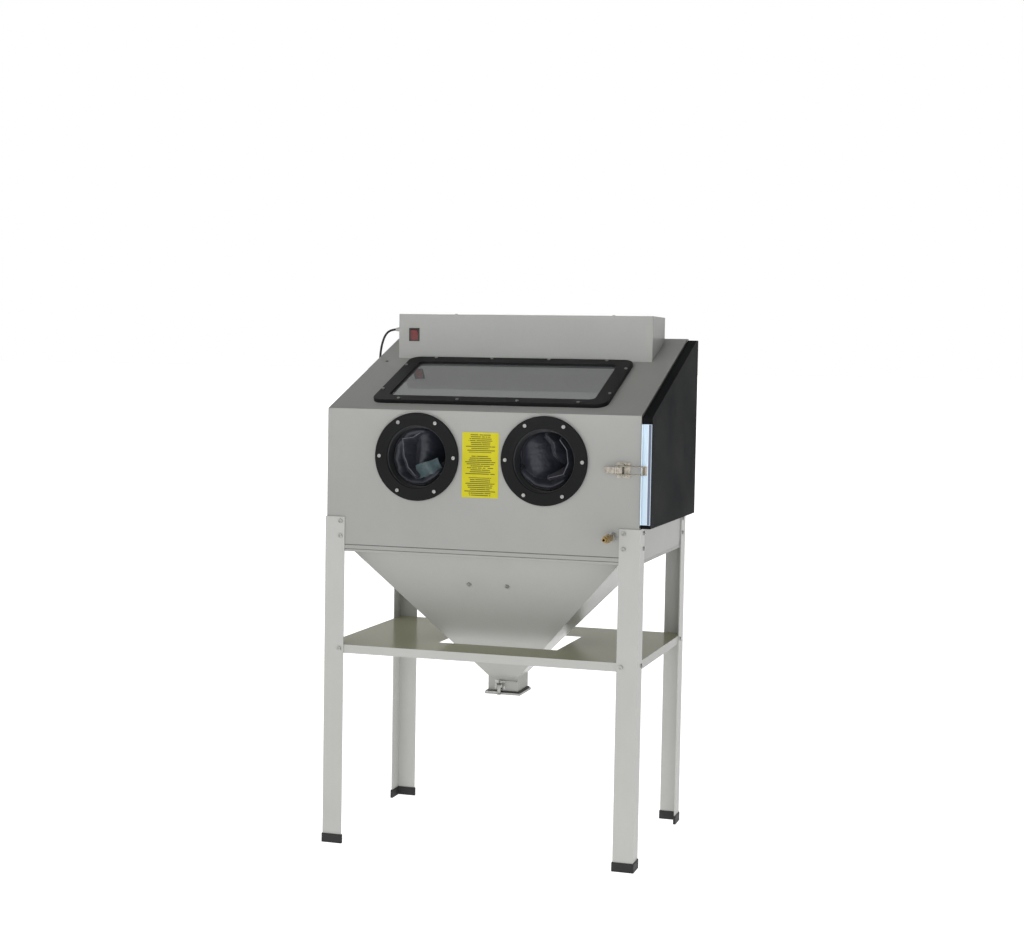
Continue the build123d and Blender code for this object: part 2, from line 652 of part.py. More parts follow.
def door_pan():
    """Folded sheet pan with its open side to the cabinet."""
    pan = prism_x(door_outline(0), DOOR_X0, DOOR_X1)
    return pan - prism_x(door_outline(1.6), DOOR_X0 - 1, DOOR_X1 - 1.6)


def door_liner():
    """Rubber-faced inner sheet that closes the pan."""
    return prism_x(door_outline(1.7), DOOR_X0, DOOR_X0 + 3)


def door_seal():
    return prism_x(door_outline(8), CAB_X + 0.15, DOOR_X0) - prism_x(door_outline(22), CAB_X - 1, DOOR_X0 + 1)


def door_edge_grip():
    """Aluminium channel on the door's front edge, which gives the finger hold."""
    z0, z1 = 989.0, 1271.0
    y0, y1 = STRIP_Y, -DOOR_Y
    outline = [(DOOR_X0 - 0.5, y1), (DOOR_X0 - 0.5, y0), (DOOR_X0 + 3, y0), (DOOR_X0 + 3, y1 - 3.5),
               (DOOR_X1 - 4, y1 - 3.5), (DOOR_X1 - 4, y0), (DOOR_X1 - 0.5, y0), (DOOR_X1 - 0.5, y1)]
    return prism_z(outline, z0, z1)


def door_strike():
    """Small plate on the edge grip whose lip stands behind the bail."""
    z = LATCH_Z
    y = -DOOR_Y - 3.5
    x = DOOR_X0 + 3
    plate = block(x, x + 17, y - 2, y, z - 13, z + 13)
    plate += block(x, x + 2.2, BAIL_Y + BAIL_R + 0.5, y, z - 8, z + 8)
    return plate


def hinge_leaf(side, z):
    """One leaf of a butt hinge: side -1 is on the cabinet, +1 on the door."""
    third = HINGE_LEN / 3
    y = CAB_Y if side < 0 else DOOR_Y
    x_end = CAB_X - 34 if side < 0 else DOOR_X1 - 1
    x0, x1 = sorted((HINGE_X, x_end))
    leaf = block(x0, x1, y, HINGE_Y - HINGE_R + 0.6,
                 z - HINGE_LEN / 2, z + HINGE_LEN / 2)
    spans = [(-1.5, -0.5), (0.5, 1.5)] if side < 0 else [(-0.49, 0.49)]
    other = [(-0.5, 0.5)] if side < 0 else [(-1.51, -0.49), (0.49, 1.51)]
    for a, b in other:
        leaf -= rod((HINGE_X, HINGE_Y, z + a * third), (HINGE_X, HINGE_Y, z + b * third), HINGE_R + 0.6)
    for a, b in spans:
        leaf += rod((HINGE_X, HINGE_Y, z + a * third), (HINGE_X, HINGE_Y, z + b * third), HINGE_R)
    bore = HINGE_PIN_R + (RUN if side > 0 else 0.0)
    return leaf - rod((HINGE_X, HINGE_Y, z - HINGE_LEN), (HINGE_X, HINGE_Y, z + HINGE_LEN), bore)


def hinge_leaves(side):
    return group([hinge_leaf(side, z) for z in HINGE_Z])


def hinge_pins():
    half = HINGE_LEN / 2
    pins = []
    for z in HINGE_Z:
        pin = rod((HINGE_X, HINGE_Y, z - half), (HINGE_X, HINGE_Y, z + half), HINGE_PIN_R)
        pins.append(pin + rod((HINGE_X, HINGE_Y, z + half), (HINGE_X, HINGE_Y, z + half + 2), 3.6))
    return group(pins)


# ---- door latch ----------------------------------------------------------------------------------
def latch_base():
    """Plate on the front panel with two ears and the lever's pin."""
    z = LATCH_Z
    base = block(LATCH_X - 16, LATCH_X + 24, -CAB_Y - 2, -CAB_Y, z - 22, z + 22)
    for z0 in (z - 17, z + 14):
        base += block(LATCH_X - 7, LATCH_X + 7, LATCH_Y - 2.7, -CAB_Y - 2, z0, z0 + 3)
    for dz in (-19.5, 19.5):
        base += rod((LATCH_X + 16, -CAB_Y - 4, z + dz * 0.6), (LATCH_X + 16, -CAB_Y - 2, z + dz * 0.6), 3.2)
    return base + rod((LATCH_X, LATCH_Y, z - 19), (LATCH_X, LATCH_Y, z + 19), 2)


def latch_lever():
    """The finger lever; its hub turns on the base's pin and it carries the bail."""
    z = LATCH_Z
    lever = block(LATCH_X - 40, LATCH_X + 2, BAIL_Y - 1.2, BAIL_Y + 1.2, z - 9, z + 9)
    tip = [(LATCH_X - 40, BAIL_Y - 1.2), (LATCH_X - 46, BAIL_Y - 5), (LATCH_X - 46, BAIL_Y - 2.6),
           (LATCH_X - 40, BAIL_Y + 1.2)]
    lever += prism_z(tip, z - 9, z + 9)
    lever += rod((BAIL_X, BAIL_Y, z - 9), (BAIL_X, BAIL_Y, z + 9), 3.4)
    lever += rod((LATCH_X, LATCH_Y, z - 9), (LATCH_X, LATCH_Y, z + 9), 4.2)
    lever += block(LATCH_X - 3, LATCH_X + 3, BAIL_Y - 1.2, LATCH_Y, z - 9, z + 9)
    lever -= rod((LATCH_X, LATCH_Y, z - 20), (LATCH_X, LATCH_Y, z + 20), 2 + RUN)
    return lever - rod((BAIL_X, BAIL_Y, z - 20), (BAIL_X, BAIL_Y, z + 20), BAIL_R + RUN)


def latch_bail():
    """Closed wire loop from the lever to the strike."""
    z, half = LATCH_Z, 11.6
    corners = [(BAIL_X, BAIL_Y, z - half), (BAIL_END_X, BAIL_Y, z - half),
               (BAIL_END_X, BAIL_Y, z + half), (BAIL_X, BAIL_Y, z + half)]
    wire = [rod(corners[i], corners[(i + 1) % 4], BAIL_R) for i in range(4)]
    return join(wire + [Pos(*c) * Sphere(BAIL_R) for c in corners])


# ---- air inlet, exhaust, label -----------------------------------------------------------------
def inlet_nut():
    y = -CAB_Y
    nut = hex_bar((INLET_X, y - 9, INLET_Z), (INLET_X, y, INLET_Z), 24)
    nut += rod((INLET_X, y - 1.5, INLET_Z), (INLET_X, y, INLET_Z), 15)
    return nut - rod((INLET_X, y - 10, INLET_Z), (INLET_X, y + 1, INLET_Z), 7.0)


def inlet_fitting():
    """Brass bulkhead fitting: thread through the panel, hexagon, and a hose nipple with an open bore."""
    def at(y):
        return (INLET_X, -CAB_Y + y, INLET_Z)
    fitting = rod(at(28), at(-38), 7.0) + hex_bar(at(-38), at(-56), 22) + rod(at(-56), at(-78), 9.5)
    fitting += rod(at(-78), at(-95), 6.0)
    for y in (31, 36, 41):
        fitting += loft([Plane(origin=at(y - 3), z_dir=(0, 1, 0)) * Circle(5.6),
                         Plane(origin=at(y + 2), z_dir=(0, 1, 0)) * Circle(4.4)])
    fitting += hex_bar(at(9), at(3), 22)
    return fitting - rod(at(-96), at(45), 3.6)


def exhaust_spigot():
    """Round dust-extraction spigot on the back, welded to a square flange."""
    x, z, y = EXHAUST_X, EXHAUST_Z, CAB_Y
    flange = block(x - 68, x + 68, y, y + 2, z - 68, z + 68)
    spigot = flange + rod((x, y, z), (x, y + 46, z), EXHAUST_R)
    return spigot - rod((x, y - 1, z), (x, y + 47, z), EXHAUST_R - 2)


def front_label():
    return block(-54, 56, -CAB_Y - 0.6, -CAB_Y, 1047, 1235)


# ---- inside the chamber --------------------------------------------------------------------------
def work_grate():
    """Flat bars between two rails."""
    rail_y = GRATE_Y - 3
    bars = [block(-GRATE_X, GRATE_X, s * rail_y - 3, s * rail_y + 3, GRATE_Z0, GRATE_Z1) for s in (-1, 1)]
    count = 27
    pitch = 2 * (GRATE_X - 2) / (count - 1)
    for i in range(count):
        x = -GRATE_X + 2 + i * pitch
        bars.append(block(x - 2, x + 2, -GRATE_Y, GRATE_Y, GRATE_Z0 + 3, GRATE_Z1))
    return join(bars)


def gun_body():
    """Pistol-shaped casting that lies on its side: barrel along Y, handle to the right."""
    x, z = GUN_X, GUN_Z
    body = rod((x, -110, z), (x, 40, z), 15) + rod((x, -128, z), (x, -110, z), 9)
    body += prism_z([(x, -100), (x, -66), (x + 88, -98), (x + 88, -130)], z - 11, z + 11)
    body += rod((x - 28, 6, z), (x - 14, 6, z), 8)
    body -= block(x - 1, x + 16, -62, -38, z - 4.4, z + 4.4)
    body -= rod((x, 10, z), (x, 41, z), 9)
    px, py = GUN_PIVOT
    return body + rod((px, py, z - 6), (px, py, z + 6), 1.6)


def gun_nozzle():
    start, end = (GUN_X, 10.2, GUN_Z), (GUN_X, 78, GUN_Z)
    return rod(start, end, 8.8) - rod((GUN_X, 9, GUN_Z), (GUN_X, 79, GUN_Z), 3.2)


def gun_trigger():
    px, py = GUN_PIVOT
    z0, z1 = GUN_Z - 3.8, GUN_Z + 3.8
    blade = prism_z([(px, py - 4), (px, py + 4), (px + 26, py + 10), (px + 62, py + 5), (px + 62, py),
                     (px + 27, py + 4)], z0, z1)
    blade += rod((px, py, z0), (px, py, z1), 5)
    return blade - rod((px, py, z0 - 1), (px, py, z1 + 1), 1.6 + RUN)


# ---- power cord ----------------------------------------------------------------------------------
CORD_LEAD = [(-429, 125, 1535), (-447, 125, 1533), (-462, 125, 1522), (-472, 126, 1504), (-480, 127, 1477),
             (-486, 129, 1440), (-488, 128, 1396), (-486, 123, 1352), (-482, 120, 1318)]
CORD_TAIL = [(-484, 116, 1282), (-485, 115, 1262), (-486, 118, 1238), (-486, 122, 1212)]


def cord_run(points):
    """A tube along straight runs joined by the largest tangent arcs that the runs allow."""
    pts = [Vector(*p) for p in points]
    radii = []
    for i in range(1, len(pts) - 1):
        before, after = pts[i] - pts[i - 1], pts[i + 1] - pts[i]
        turn = math.radians(before.get_angle(after))
        radii.append(0.45 * min(before.length, after.length) / math.tan(turn / 2))
    print("cord radii", [round(r, 1) for r in radii])
    path = FilletPolyline(*pts, radius=radii)
    section = Plane(origin=pts[0], z_dir=(pts[1] - pts[0]).normalized()) * Circle(CORD_R)
    cord = sweep(section, path=path)
    whole = math.pi * CORD_R ** 2 * path.length
    print("cord volume", round(cord.volume), "section times length", round(whole))
    return cord


def power_cord():
    """The lead from the gland to the coil, and the tail from the coil to the plug."""
    return group([cord_run(CORD_LEAD) - cord_coil(), cord_run(CORD_TAIL) - cord_coil() - mains_plug()])


def cord_coil():
    """Outer shape of the tied turns, hung on the wall hook."""
    x, y, z = COIL_X, COIL_Y, COIL_Z
    start, end = (x - COIL_HALF_W, y, z), (x + COIL_HALF_W, y, z)
    coil = tube(start, end, COIL_R + COIL_HALF_R, COIL_R - COIL_HALF_R)
    return coil


def cord_tie():
    x, y, z = COIL_X, COIL_Y, COIL_Z - COIL_R
    a, b = COIL_HALF_W + 0.1, COIL_HALF_R + 1.4
    band = block(x - a - 1.5, x + a + 1.0, y - 8, y + 8, z - b - 1.5, z + b + 1.5)
    return band - block(x - a, x + a, y - 9, y + 9, z - b, z + b)


def cord_hook():
    """Bent strap on the left wall that the coil hangs on."""
    x, y = -CAB_X, COIL_Y
    z = COIL_Z + COIL_R - COIL_HALF_R - 0.8
    hook = block(x - 1.5, x, y - 10, y + 10, z - 30, z + 4)
    hook += block(x - 23, x - 1.5, y - 6, y + 6, z - 3, z)
    return hook + block(x - 23, x - 21, y - 6, y + 6, z, z + 10)


def mains_plug():
    """Moulded plug that hangs from the end of the cord, blades down."""
    x, y, z = CORD_TAIL[-1]
    sections = [Plane(origin=(x, y, z)) * Circle(4.4), Plane(origin=(x, y, z - 24)) * Circle(7.0)]
    plug = loft(sections)
    plug += loft([Plane(origin=(x, y, z - 24)) * RectangleRounded(15, 18, 5),
                  Plane(origin=(x, y, z - 34)) * RectangleRounded(19, 27, 6),
                  Plane(origin=(x, y, z - 56)) * RectangleRounded(19, 27, 6)], ruled=True)
    for dy in (-6.4, 6.4):
        plug += block(x - 3, x + 3, y + dy - 0.8, y + dy + 0.8, z - 73, z - 56)
    return plug


# ---- output --------------------------------------------------------------------------------------
CORD_NODES = ("power_cord", "cord_coil", "cord_tie", "mains_plug")


def all_parts():
    sheet = wrap()
    parts = {
        "front_panel": front_panel(sheet), "slope_panel": slope_panel(sheet), "back_panel": back_panel(sheet),
        "left_panel": left_panel(), "door_frame": door_frame(), "bottom_frame": bottom_frame(),
        "hopper": hopper(), "hopper_spout": hopper_spout(), "pickup_tube": pickup_tube(),
        "trap_door": trap_door(), "trap_seal": trap_seal(), "trap_hinge": trap_hinge(),
        "trap_latch_base": trap_latch_base(), "trap_latch": trap_latch(),
        "frame_bolts": frame_bolts(), "shelf": shelf(),
        "glove_ring_left": glove_ring(-1), "glove_ring_right": glove_ring(1),
        "glove_ring_screws": glove_ring_screws(), "glove_left": glove(-1), "glove_right": glove(1),
        "window_frame": window_frame(), "window_glass": window_glass(), "window_gasket": window_gasket(),
        "window_screws": window_screws(),
        "light_box": light_box(), "light_box_screws": light_box_screws(), "lamp_glass": lamp_glass(),
        "lamp_tube": lamp_tube(), "lamp_holders": lamp_holders(), "lamp_reflector": lamp_reflector(),
        "switch_bezel": switch_bezel(), "switch_rocker": switch_rocker(), "cable_gland": cable_gland(),
        "door_pan": door_pan(), "door_liner": door_liner(), "door_seal": door_seal(),
        "door_edge_grip": door_edge_grip(), "door_strike": door_strike(),
        "hinge_frame_leaves": hinge_leaves(-1), "hinge_door_leaves": hinge_leaves(1),
        "hinge_pins": hinge_pins(),
        "latch_base": latch_base(), "latch_lever": latch_lever(), "latch_bail": latch_bail(),
        "inlet_nut": inlet_nut(), "inlet_fitting": inlet_fitting(), "exhaust_spigot": exhaust_spigot(),
        "front_label": front_label(), "work_grate": work_grate(),
        "gun_body": gun_body(), "gun_nozzle": gun_nozzle(), "gun_trigger": gun_trigger(),
        "power_cord": power_cord(), "cord_coil": cord_coil(), "cord_tie": cord_tie(),
        "cord_hook": cord_hook(), "mains_plug": mains_plug(),
    }
    parts["legs"] = group([leg(sx, sy) for sx in (-1, 1) for sy in (-1, 1)])
    parts["feet"] = group([foot(sx, sy) for sx in (-1, 1) for sy in (-1, 1)])
    return parts


def save_parts(parts):
    """Centre the object over the origin, leaving the cord's own nodes out of the middle, and write it."""
    body = Compound([s for name, shape in parts.items() if name not in CORD_NODES for s in shape.solids()])
    size = body.bounding_box()
    shift = Pos(-(size.min.X + size.max.X) / 2, -(size.min.Y + size.max.Y) / 2, 0)
    print("moved by", shift.position, "size", size.size)
    os.makedirs("parts", exist_ok=True)
    for name, shape in parts.items():
        export_step(shift * shape, f"parts/{name}.step")
    print(len(parts), "nodes")


save_parts(all_parts())
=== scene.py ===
import json
import math

import bmesh
import bpy
from mathutils import Matrix, Vector, noise


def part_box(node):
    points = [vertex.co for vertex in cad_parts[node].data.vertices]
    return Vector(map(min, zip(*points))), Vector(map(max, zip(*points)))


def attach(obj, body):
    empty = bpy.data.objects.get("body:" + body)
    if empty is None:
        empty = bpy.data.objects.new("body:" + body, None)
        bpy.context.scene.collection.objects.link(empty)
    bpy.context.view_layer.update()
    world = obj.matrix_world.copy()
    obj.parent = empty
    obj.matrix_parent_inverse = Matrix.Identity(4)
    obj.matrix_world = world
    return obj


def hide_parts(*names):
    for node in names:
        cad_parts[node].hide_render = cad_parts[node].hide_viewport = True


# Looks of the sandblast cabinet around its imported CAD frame.  Metres; +X right, +Y back, +Z up.
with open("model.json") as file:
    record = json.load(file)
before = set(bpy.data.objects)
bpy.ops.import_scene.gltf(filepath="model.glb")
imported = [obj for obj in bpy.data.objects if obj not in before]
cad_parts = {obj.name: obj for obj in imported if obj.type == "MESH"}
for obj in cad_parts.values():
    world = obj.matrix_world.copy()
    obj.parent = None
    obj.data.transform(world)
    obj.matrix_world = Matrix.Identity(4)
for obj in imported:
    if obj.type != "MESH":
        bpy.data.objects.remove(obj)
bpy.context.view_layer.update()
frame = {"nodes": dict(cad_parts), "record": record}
NODES = frame["nodes"]


# ---- node helpers -------------------------------------------------------------------------
class Recipe:
    """One material's node tree, with short ways to add and join nodes."""

    def __init__(self, name):
        self.material = bpy.data.materials.new(name)
        self.material.use_nodes = True
        self.tree = self.material.node_tree
        self.shader = self.tree.nodes["Principled BSDF"]
        spots = self.add("ShaderNodeTexCoord")
        self.place = spots.outputs["Object"]
        self.normal = spots.outputs["Normal"]

    def add(self, kind, **settings):
        node = self.tree.nodes.new(kind)
        for key, value in settings.items():
            setattr(node, key, value)
        return node

    def link(self, source, target):
        self.tree.links.new(source, target)

    def set(self, **values):
        """Plain numbers and colours on the shader's own sockets."""
        for key, value in values.items():
            self.shader.inputs[key.replace("_", " ")].default_value = value

    def stretched(self, scale):
        mapping = self.add("ShaderNodeMapping")
        mapping.inputs["Scale"].default_value = scale
        self.link(self.place, mapping.inputs["Vector"])
        return mapping.outputs["Vector"]

    def noise(self, scale, detail=2.0, roughness=0.5, vector=None):
        node = self.add("ShaderNodeTexNoise")
        node.inputs["Scale"].default_value = scale
        node.inputs["Detail"].default_value = detail
        node.inputs["Roughness"].default_value = roughness
        self.link(vector or self.place, node.inputs["Vector"])
        return node.outputs["Fac"]

    def spread(self, value, low, high, out_low=0.0, out_high=1.0):
        node = self.add("ShaderNodeMapRange")
        ends = {"From Min": low, "From Max": high, "To Min": out_low, "To Max": out_high}
        for key, number in ends.items():
            node.inputs[key].default_value = number
        self.link(value, node.inputs["Value"])
        return node.outputs["Result"]

    def math(self, operation, first, second=None):
        node = self.add("ShaderNodeMath", operation=operation)
        for socket, value in zip(node.inputs, (first, second)):
            if value is None:
                continue
            if isinstance(value, (int, float)):
                socket.default_value = value
            else:
                self.link(value, socket)
        return node.outputs["Value"]

    def mix(self, factor, first, second):
        node = self.add("ShaderNodeMix", data_type="RGBA")
        if isinstance(factor, (int, float)):
            node.inputs["Factor"].default_value = factor
        else:
            self.link(factor, node.inputs["Factor"])
        for key, value in (("A", first), ("B", second)):
            socket = next(s for s in node.inputs if s.name == key and s.type == "RGBA")
            if isinstance(value, tuple):
                socket.default_value = (*value, 1.0)
            else:
                self.link(value, socket)
        return next(s for s in node.outputs if s.type == "RGBA")

    def colour(self, source):
        self.link(source, self.shader.inputs["Base Color"])

    def bump(self, height, distance, strength=1.0, below=None):
        node = self.add("ShaderNodeBump")
        node.inputs["Strength"].default_value = strength
        node.inputs["Distance"].default_value = distance
        self.link(height, node.inputs["Height"])
        if below is not None:
            self.link(below, node.inputs["Normal"])
        self.link(node.outputs["Normal"], self.shader.inputs["Normal"])
        return node.outputs["Normal"]

    def axis(self, letter):
        node = self.add("ShaderNodeSeparateXYZ")
        self.link(self.place, node.inputs["Vector"])
        return node.outputs[letter]


def shade(colour, factor):
    return tuple(c * factor for c in colour)


# ---- materials ----------------------------------------------------------------------------
def gloss_paint(name, colour, roughness=0.19, peel=0.00004, dust_and_shade=None, index=1.10):
    """Baked enamel on sheet steel: orange peel and faint dust; where a second colour is given, faces that
    look up take it, as settled dust and painted shade together.
    """
    r = Recipe(name)
    cloud = r.spread(r.noise(3.2, 4, 0.6), 0.3, 0.7)
    base = r.mix(cloud, shade(colour, 0.965), shade(colour, 1.03))
    dust = r.spread(r.noise(60, 5, 0.65), 0.4, 0.9)
    paint = r.mix(r.math("MULTIPLY", dust, 0.22), base, shade(colour, 0.93))
    # Faces that look up turn to the given colour: settled dust, plus painted shade under the parts above
    # them.
    if dust_and_shade is not None:
        facing = r.add("ShaderNodeSeparateXYZ")
        r.link(r.normal, facing.inputs["Vector"])
        settled_dust_and_shade = r.spread(r.math("ADD", facing.outputs["Z"], r.math("MULTIPLY", dust, 0.1)), 0.5, 0.95)
        paint = r.mix(settled_dust_and_shade, paint, dust_and_shade)
    r.colour(paint)
    uneven = r.spread(r.noise(9, 4), 0.2, 0.8, roughness - 0.02, roughness + 0.03)
    r.link(uneven, r.shader.inputs["Roughness"])
    r.bump(r.noise(420, 2), peel, 0.5)
    r.set(IOR=index)
    return r.material


def textured_coat(name, colour):
    """Fine-grained black powder coat."""
    r = Recipe(name)
    grain = r.noise(900, 3, 0.6)
    fleck = r.spread(grain, 0.45, 0.75)
    cloud = r.spread(r.noise(5, 3), 0.3, 0.7)
    r.colour(r.mix(fleck, r.mix(cloud, shade(colour, 0.85), shade(colour, 1.15)), shade(colour, 1.9)))
    r.link(r.spread(cloud, 0, 1, 0.55, 0.66), r.shader.inputs["Roughness"])
    r.bump(grain, 0.00035, 0.7)
    r.set(IOR=1.09)
    return r.material


def moulding(name, colour, roughness=0.42, grain_scale=1400, depth=0.0001, gloss=0.3):
    """Moulded plastic or rubber with a spark-eroded skin."""
    r = Recipe(name)
    cloud = r.spread(r.noise(9, 4), 0.3, 0.7)
    scuff = r.spread(r.noise(70, 6, 0.7), 0.58, 0.75)
    base = r.mix(cloud, shade(colour, 0.88), shade(colour, 1.12))
    r.colour(r.mix(r.math("MULTIPLY", scuff, 0.5), base, shade(colour, 1.7)))
    r.link(r.spread(scuff, 0, 1, roughness, roughness + 0.14), r.shader.inputs["Roughness"])
    r.bump(r.noise(grain_scale, 2), depth, 0.6)
    r.set(Specular_IOR_Level=gloss)
    return r.material


def plated(name, colour, roughness=0.28, tarnish=0.75):
    """Zinc or nickel plate: bright, with cloudy passivation and fine handling marks."""
    r = Recipe(name)
    cloud = r.spread(r.noise(120, 4, 0.6), 0.35, 0.7)
    r.colour(r.mix(cloud, colour, shade(colour, tarnish)))
    r.link(r.spread(r.noise(260, 4), 0.3, 0.75, roughness, roughness + 0.2), r.shader.inputs["Roughness"])
    r.bump(r.noise(700, 3), 0.00008, 0.5)
    r.set(Metallic=1.0)
    return r.material


def drawn_metal(name, colour, scale, roughness=0.3):
    """Metal with long draw lines along the axis whose scale is small."""
    r = Recipe(name)
    lines = r.noise(1.0, 3, 0.6, r.stretched(scale))
    r.colour(r.mix(r.spread(lines, 0.3, 0.7), shade(colour, 0.86), shade(colour, 1.06)))
    r.link(r.spread(lines, 0.3, 0.7, roughness, roughness + 0.16), r.shader.inputs["Roughness"])
    r.bump(lines, 0.00006, 0.6)
    r.set(Metallic=1.0)
    return r.material


def pane(name, colour, alpha, roughness=0.04):
    """Clear pane with a thin haze of dust."""
    r = Recipe(name)
    haze = r.spread(r.noise(5, 3), 0.2, 0.8)
    r.colour(r.mix(haze, shade(colour, 0.94), shade(colour, 1.06)))
    r.link(r.spread(haze, 0, 1, roughness, roughness + 0.015), r.shader.inputs["Roughness"])
    r.set(Alpha=alpha, IOR=1.52, Coat_Weight=1.0, Coat_Roughness=0.03)
    return r.material


def glove_skin(name, colour):
    """Rubber-coated cloth: fine weave under a satin skin, paler in scattered patches."""
    r = Recipe(name)
    weave = r.add("ShaderNodeTexMagic", turbulence_depth=1)
    weave.inputs["Scale"].default_value = 420
    r.link(r.place, weave.inputs["Vector"])
    cloud = r.spread(r.noise(16, 5, 0.6), 0.3, 0.72)
    pale_patches = r.spread(r.noise(45, 6, 0.7), 0.52, 0.75)
    base = r.mix(cloud, shade(colour, 0.7), shade(colour, 1.35))
    r.colour(r.mix(r.math("MULTIPLY", pale_patches, 0.45), base, shade(colour, 2.3)))
    r.link(r.spread(cloud, 0, 1, 0.38, 0.55), r.shader.inputs["Roughness"])
    small = r.bump(weave.outputs["Fac"], 0.00012, 0.4)
    r.bump(r.noise(38, 5, 0.6), 0.0009, 0.5, small)
    r.set(Sheen_Weight=0.12, Sheen_Roughness=0.4, Specular_IOR_Level=0.4)
    return r.material


def lining_cloth(name, colour):
    """Knitted lining: ribs that run one way."""
    r = Recipe(name)
    rib = r.add("ShaderNodeTexWave", bands_direction="X")
    rib.inputs["Scale"].default_value = 260
    rib.inputs["Distortion"].default_value = 1.5
    r.link(r.place, rib.inputs["Vector"])
    cloud = r.spread(r.noise(40, 4), 0.3, 0.7)
    r.colour(r.mix(cloud, shade(colour, 0.75), shade(colour, 1.25)))
    r.bump(rib.outputs["Fac"], 0.0003, 0.6)
    r.set(Roughness=0.85, Sheen_Weight=0.4)
    return r.material


# The label's rows of plain dashes.
ROW_PITCH = 0.0056
ROW_SHARE = 0.5              # of the pitch that carries ink
ROW_STEP = 7.3               # noise step from one row to the next
ROW_REACH = (0.026, 0.049)   # half the shortest and the longest row
DASH_SCALE = 210.0
DASH_LEVEL = 0.34            # noise above this is a dash, and below it a gap
BLOCKS = 3
BLOCK_SHARE = 0.43           # half of each block's height that carries rows
INK_STRENGTH = 0.86


def label_print(name, node):
    """Yellow film with rows of plain dashes, set in blocks."""
    lo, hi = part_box(node)
    r = Recipe(name)
    x, z = r.axis("X"), r.axis("Z")
    row = r.math("DIVIDE", z, ROW_PITCH)
    number = r.math("FLOOR", row)
    in_row = r.math("LESS_THAN", r.math("FRACT", row), ROW_SHARE)
    spot = r.add("ShaderNodeCombineXYZ")
    r.link(r.math("MULTIPLY", x, DASH_SCALE), spot.inputs["X"])
    r.link(r.math("MULTIPLY", number, ROW_STEP), spot.inputs["Y"])
    dashes = r.math("GREATER_THAN", r.noise(1.0, 1, 0.5, spot.outputs["Vector"]), DASH_LEVEL)
    across = r.math("ABSOLUTE", r.math("SUBTRACT", x, (lo.x + hi.x) / 2))
    row_spot = r.add("ShaderNodeCombineXYZ")
    r.link(number, row_spot.inputs["Y"])
    random_row = r.add("ShaderNodeTexWhiteNoise", noise_dimensions="3D")
    r.link(row_spot.outputs["Vector"], random_row.inputs["Vector"])
    reach = r.spread(random_row.outputs["Value"], 0, 1, *ROW_REACH)
    inside = r.math("LESS_THAN", across, reach)
    block = r.math("FRACT", r.math("DIVIDE", r.math("SUBTRACT", z, lo.z), (hi.z - lo.z) / BLOCKS))
    gap = r.math("LESS_THAN", r.math("ABSOLUTE", r.math("SUBTRACT", block, 0.5)), BLOCK_SHARE)
    ink = r.math("MULTIPLY", r.math("MULTIPLY", in_row, dashes), r.math("MULTIPLY", inside, gap))
    cloud = r.spread(r.noise(18, 3), 0.3, 0.7)
    film = r.mix(cloud, (0.51, 0.462, 0.005), (0.56, 0.505, 0.007))
    r.colour(r.mix(r.math("MULTIPLY", ink, INK_STRENGTH), film, (0.06, 0.056, 0.01)))
    r.bump(r.noise(300, 2), 0.00004, 0.4)
    r.set(Roughness=0.36, Specular_IOR_Level=0.25)
    return r.material


BLADE_LENGTH = 0.017


def plug_material(name, node):
    """Black moulded plug whose lowest part is the plated blades."""
    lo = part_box(node)[0]
    blade_top = lo.z + BLADE_LENGTH
    r = Recipe(name)
    metal = r.math("LESS_THAN", r.axis("Z"), blade_top)
    grain = r.noise(1200, 2)
    cloud = r.spread(r.noise(30, 3), 0.3, 0.7)
    black = r.mix(cloud, (0.014, 0.014, 0.015), (0.024, 0.024, 0.026))
    r.colour(r.mix(metal, black, (0.66, 0.62, 0.52)))
    r.link(metal, r.shader.inputs["Metallic"])
    r.link(r.spread(metal, 0, 1, 0.5, 0.25), r.shader.inputs["Roughness"])
    r.bump(grain, 0.0001, 0.5)
    return r.material


def glowing(name, colour, strength):
    """The lamp tube, faintly lit."""
    r = Recipe(name)
    cloud = r.spread(r.noise(30, 3), 0.3, 0.7)
    r.colour(r.mix(cloud, shade(colour, 0.96), colour))
    r.set(Roughness=0.3, Emission_Color=(*colour, 1.0), Emission_Strength=strength)
    return r.material


GREY = (0.352, 0.354, 0.338)
HOPPER_GREY = (0.372, 0.374, 0.356)
LEG_GREY = (0.472, 0.475, 0.455)
BLACK = (0.0062, 0.0064, 0.0070)


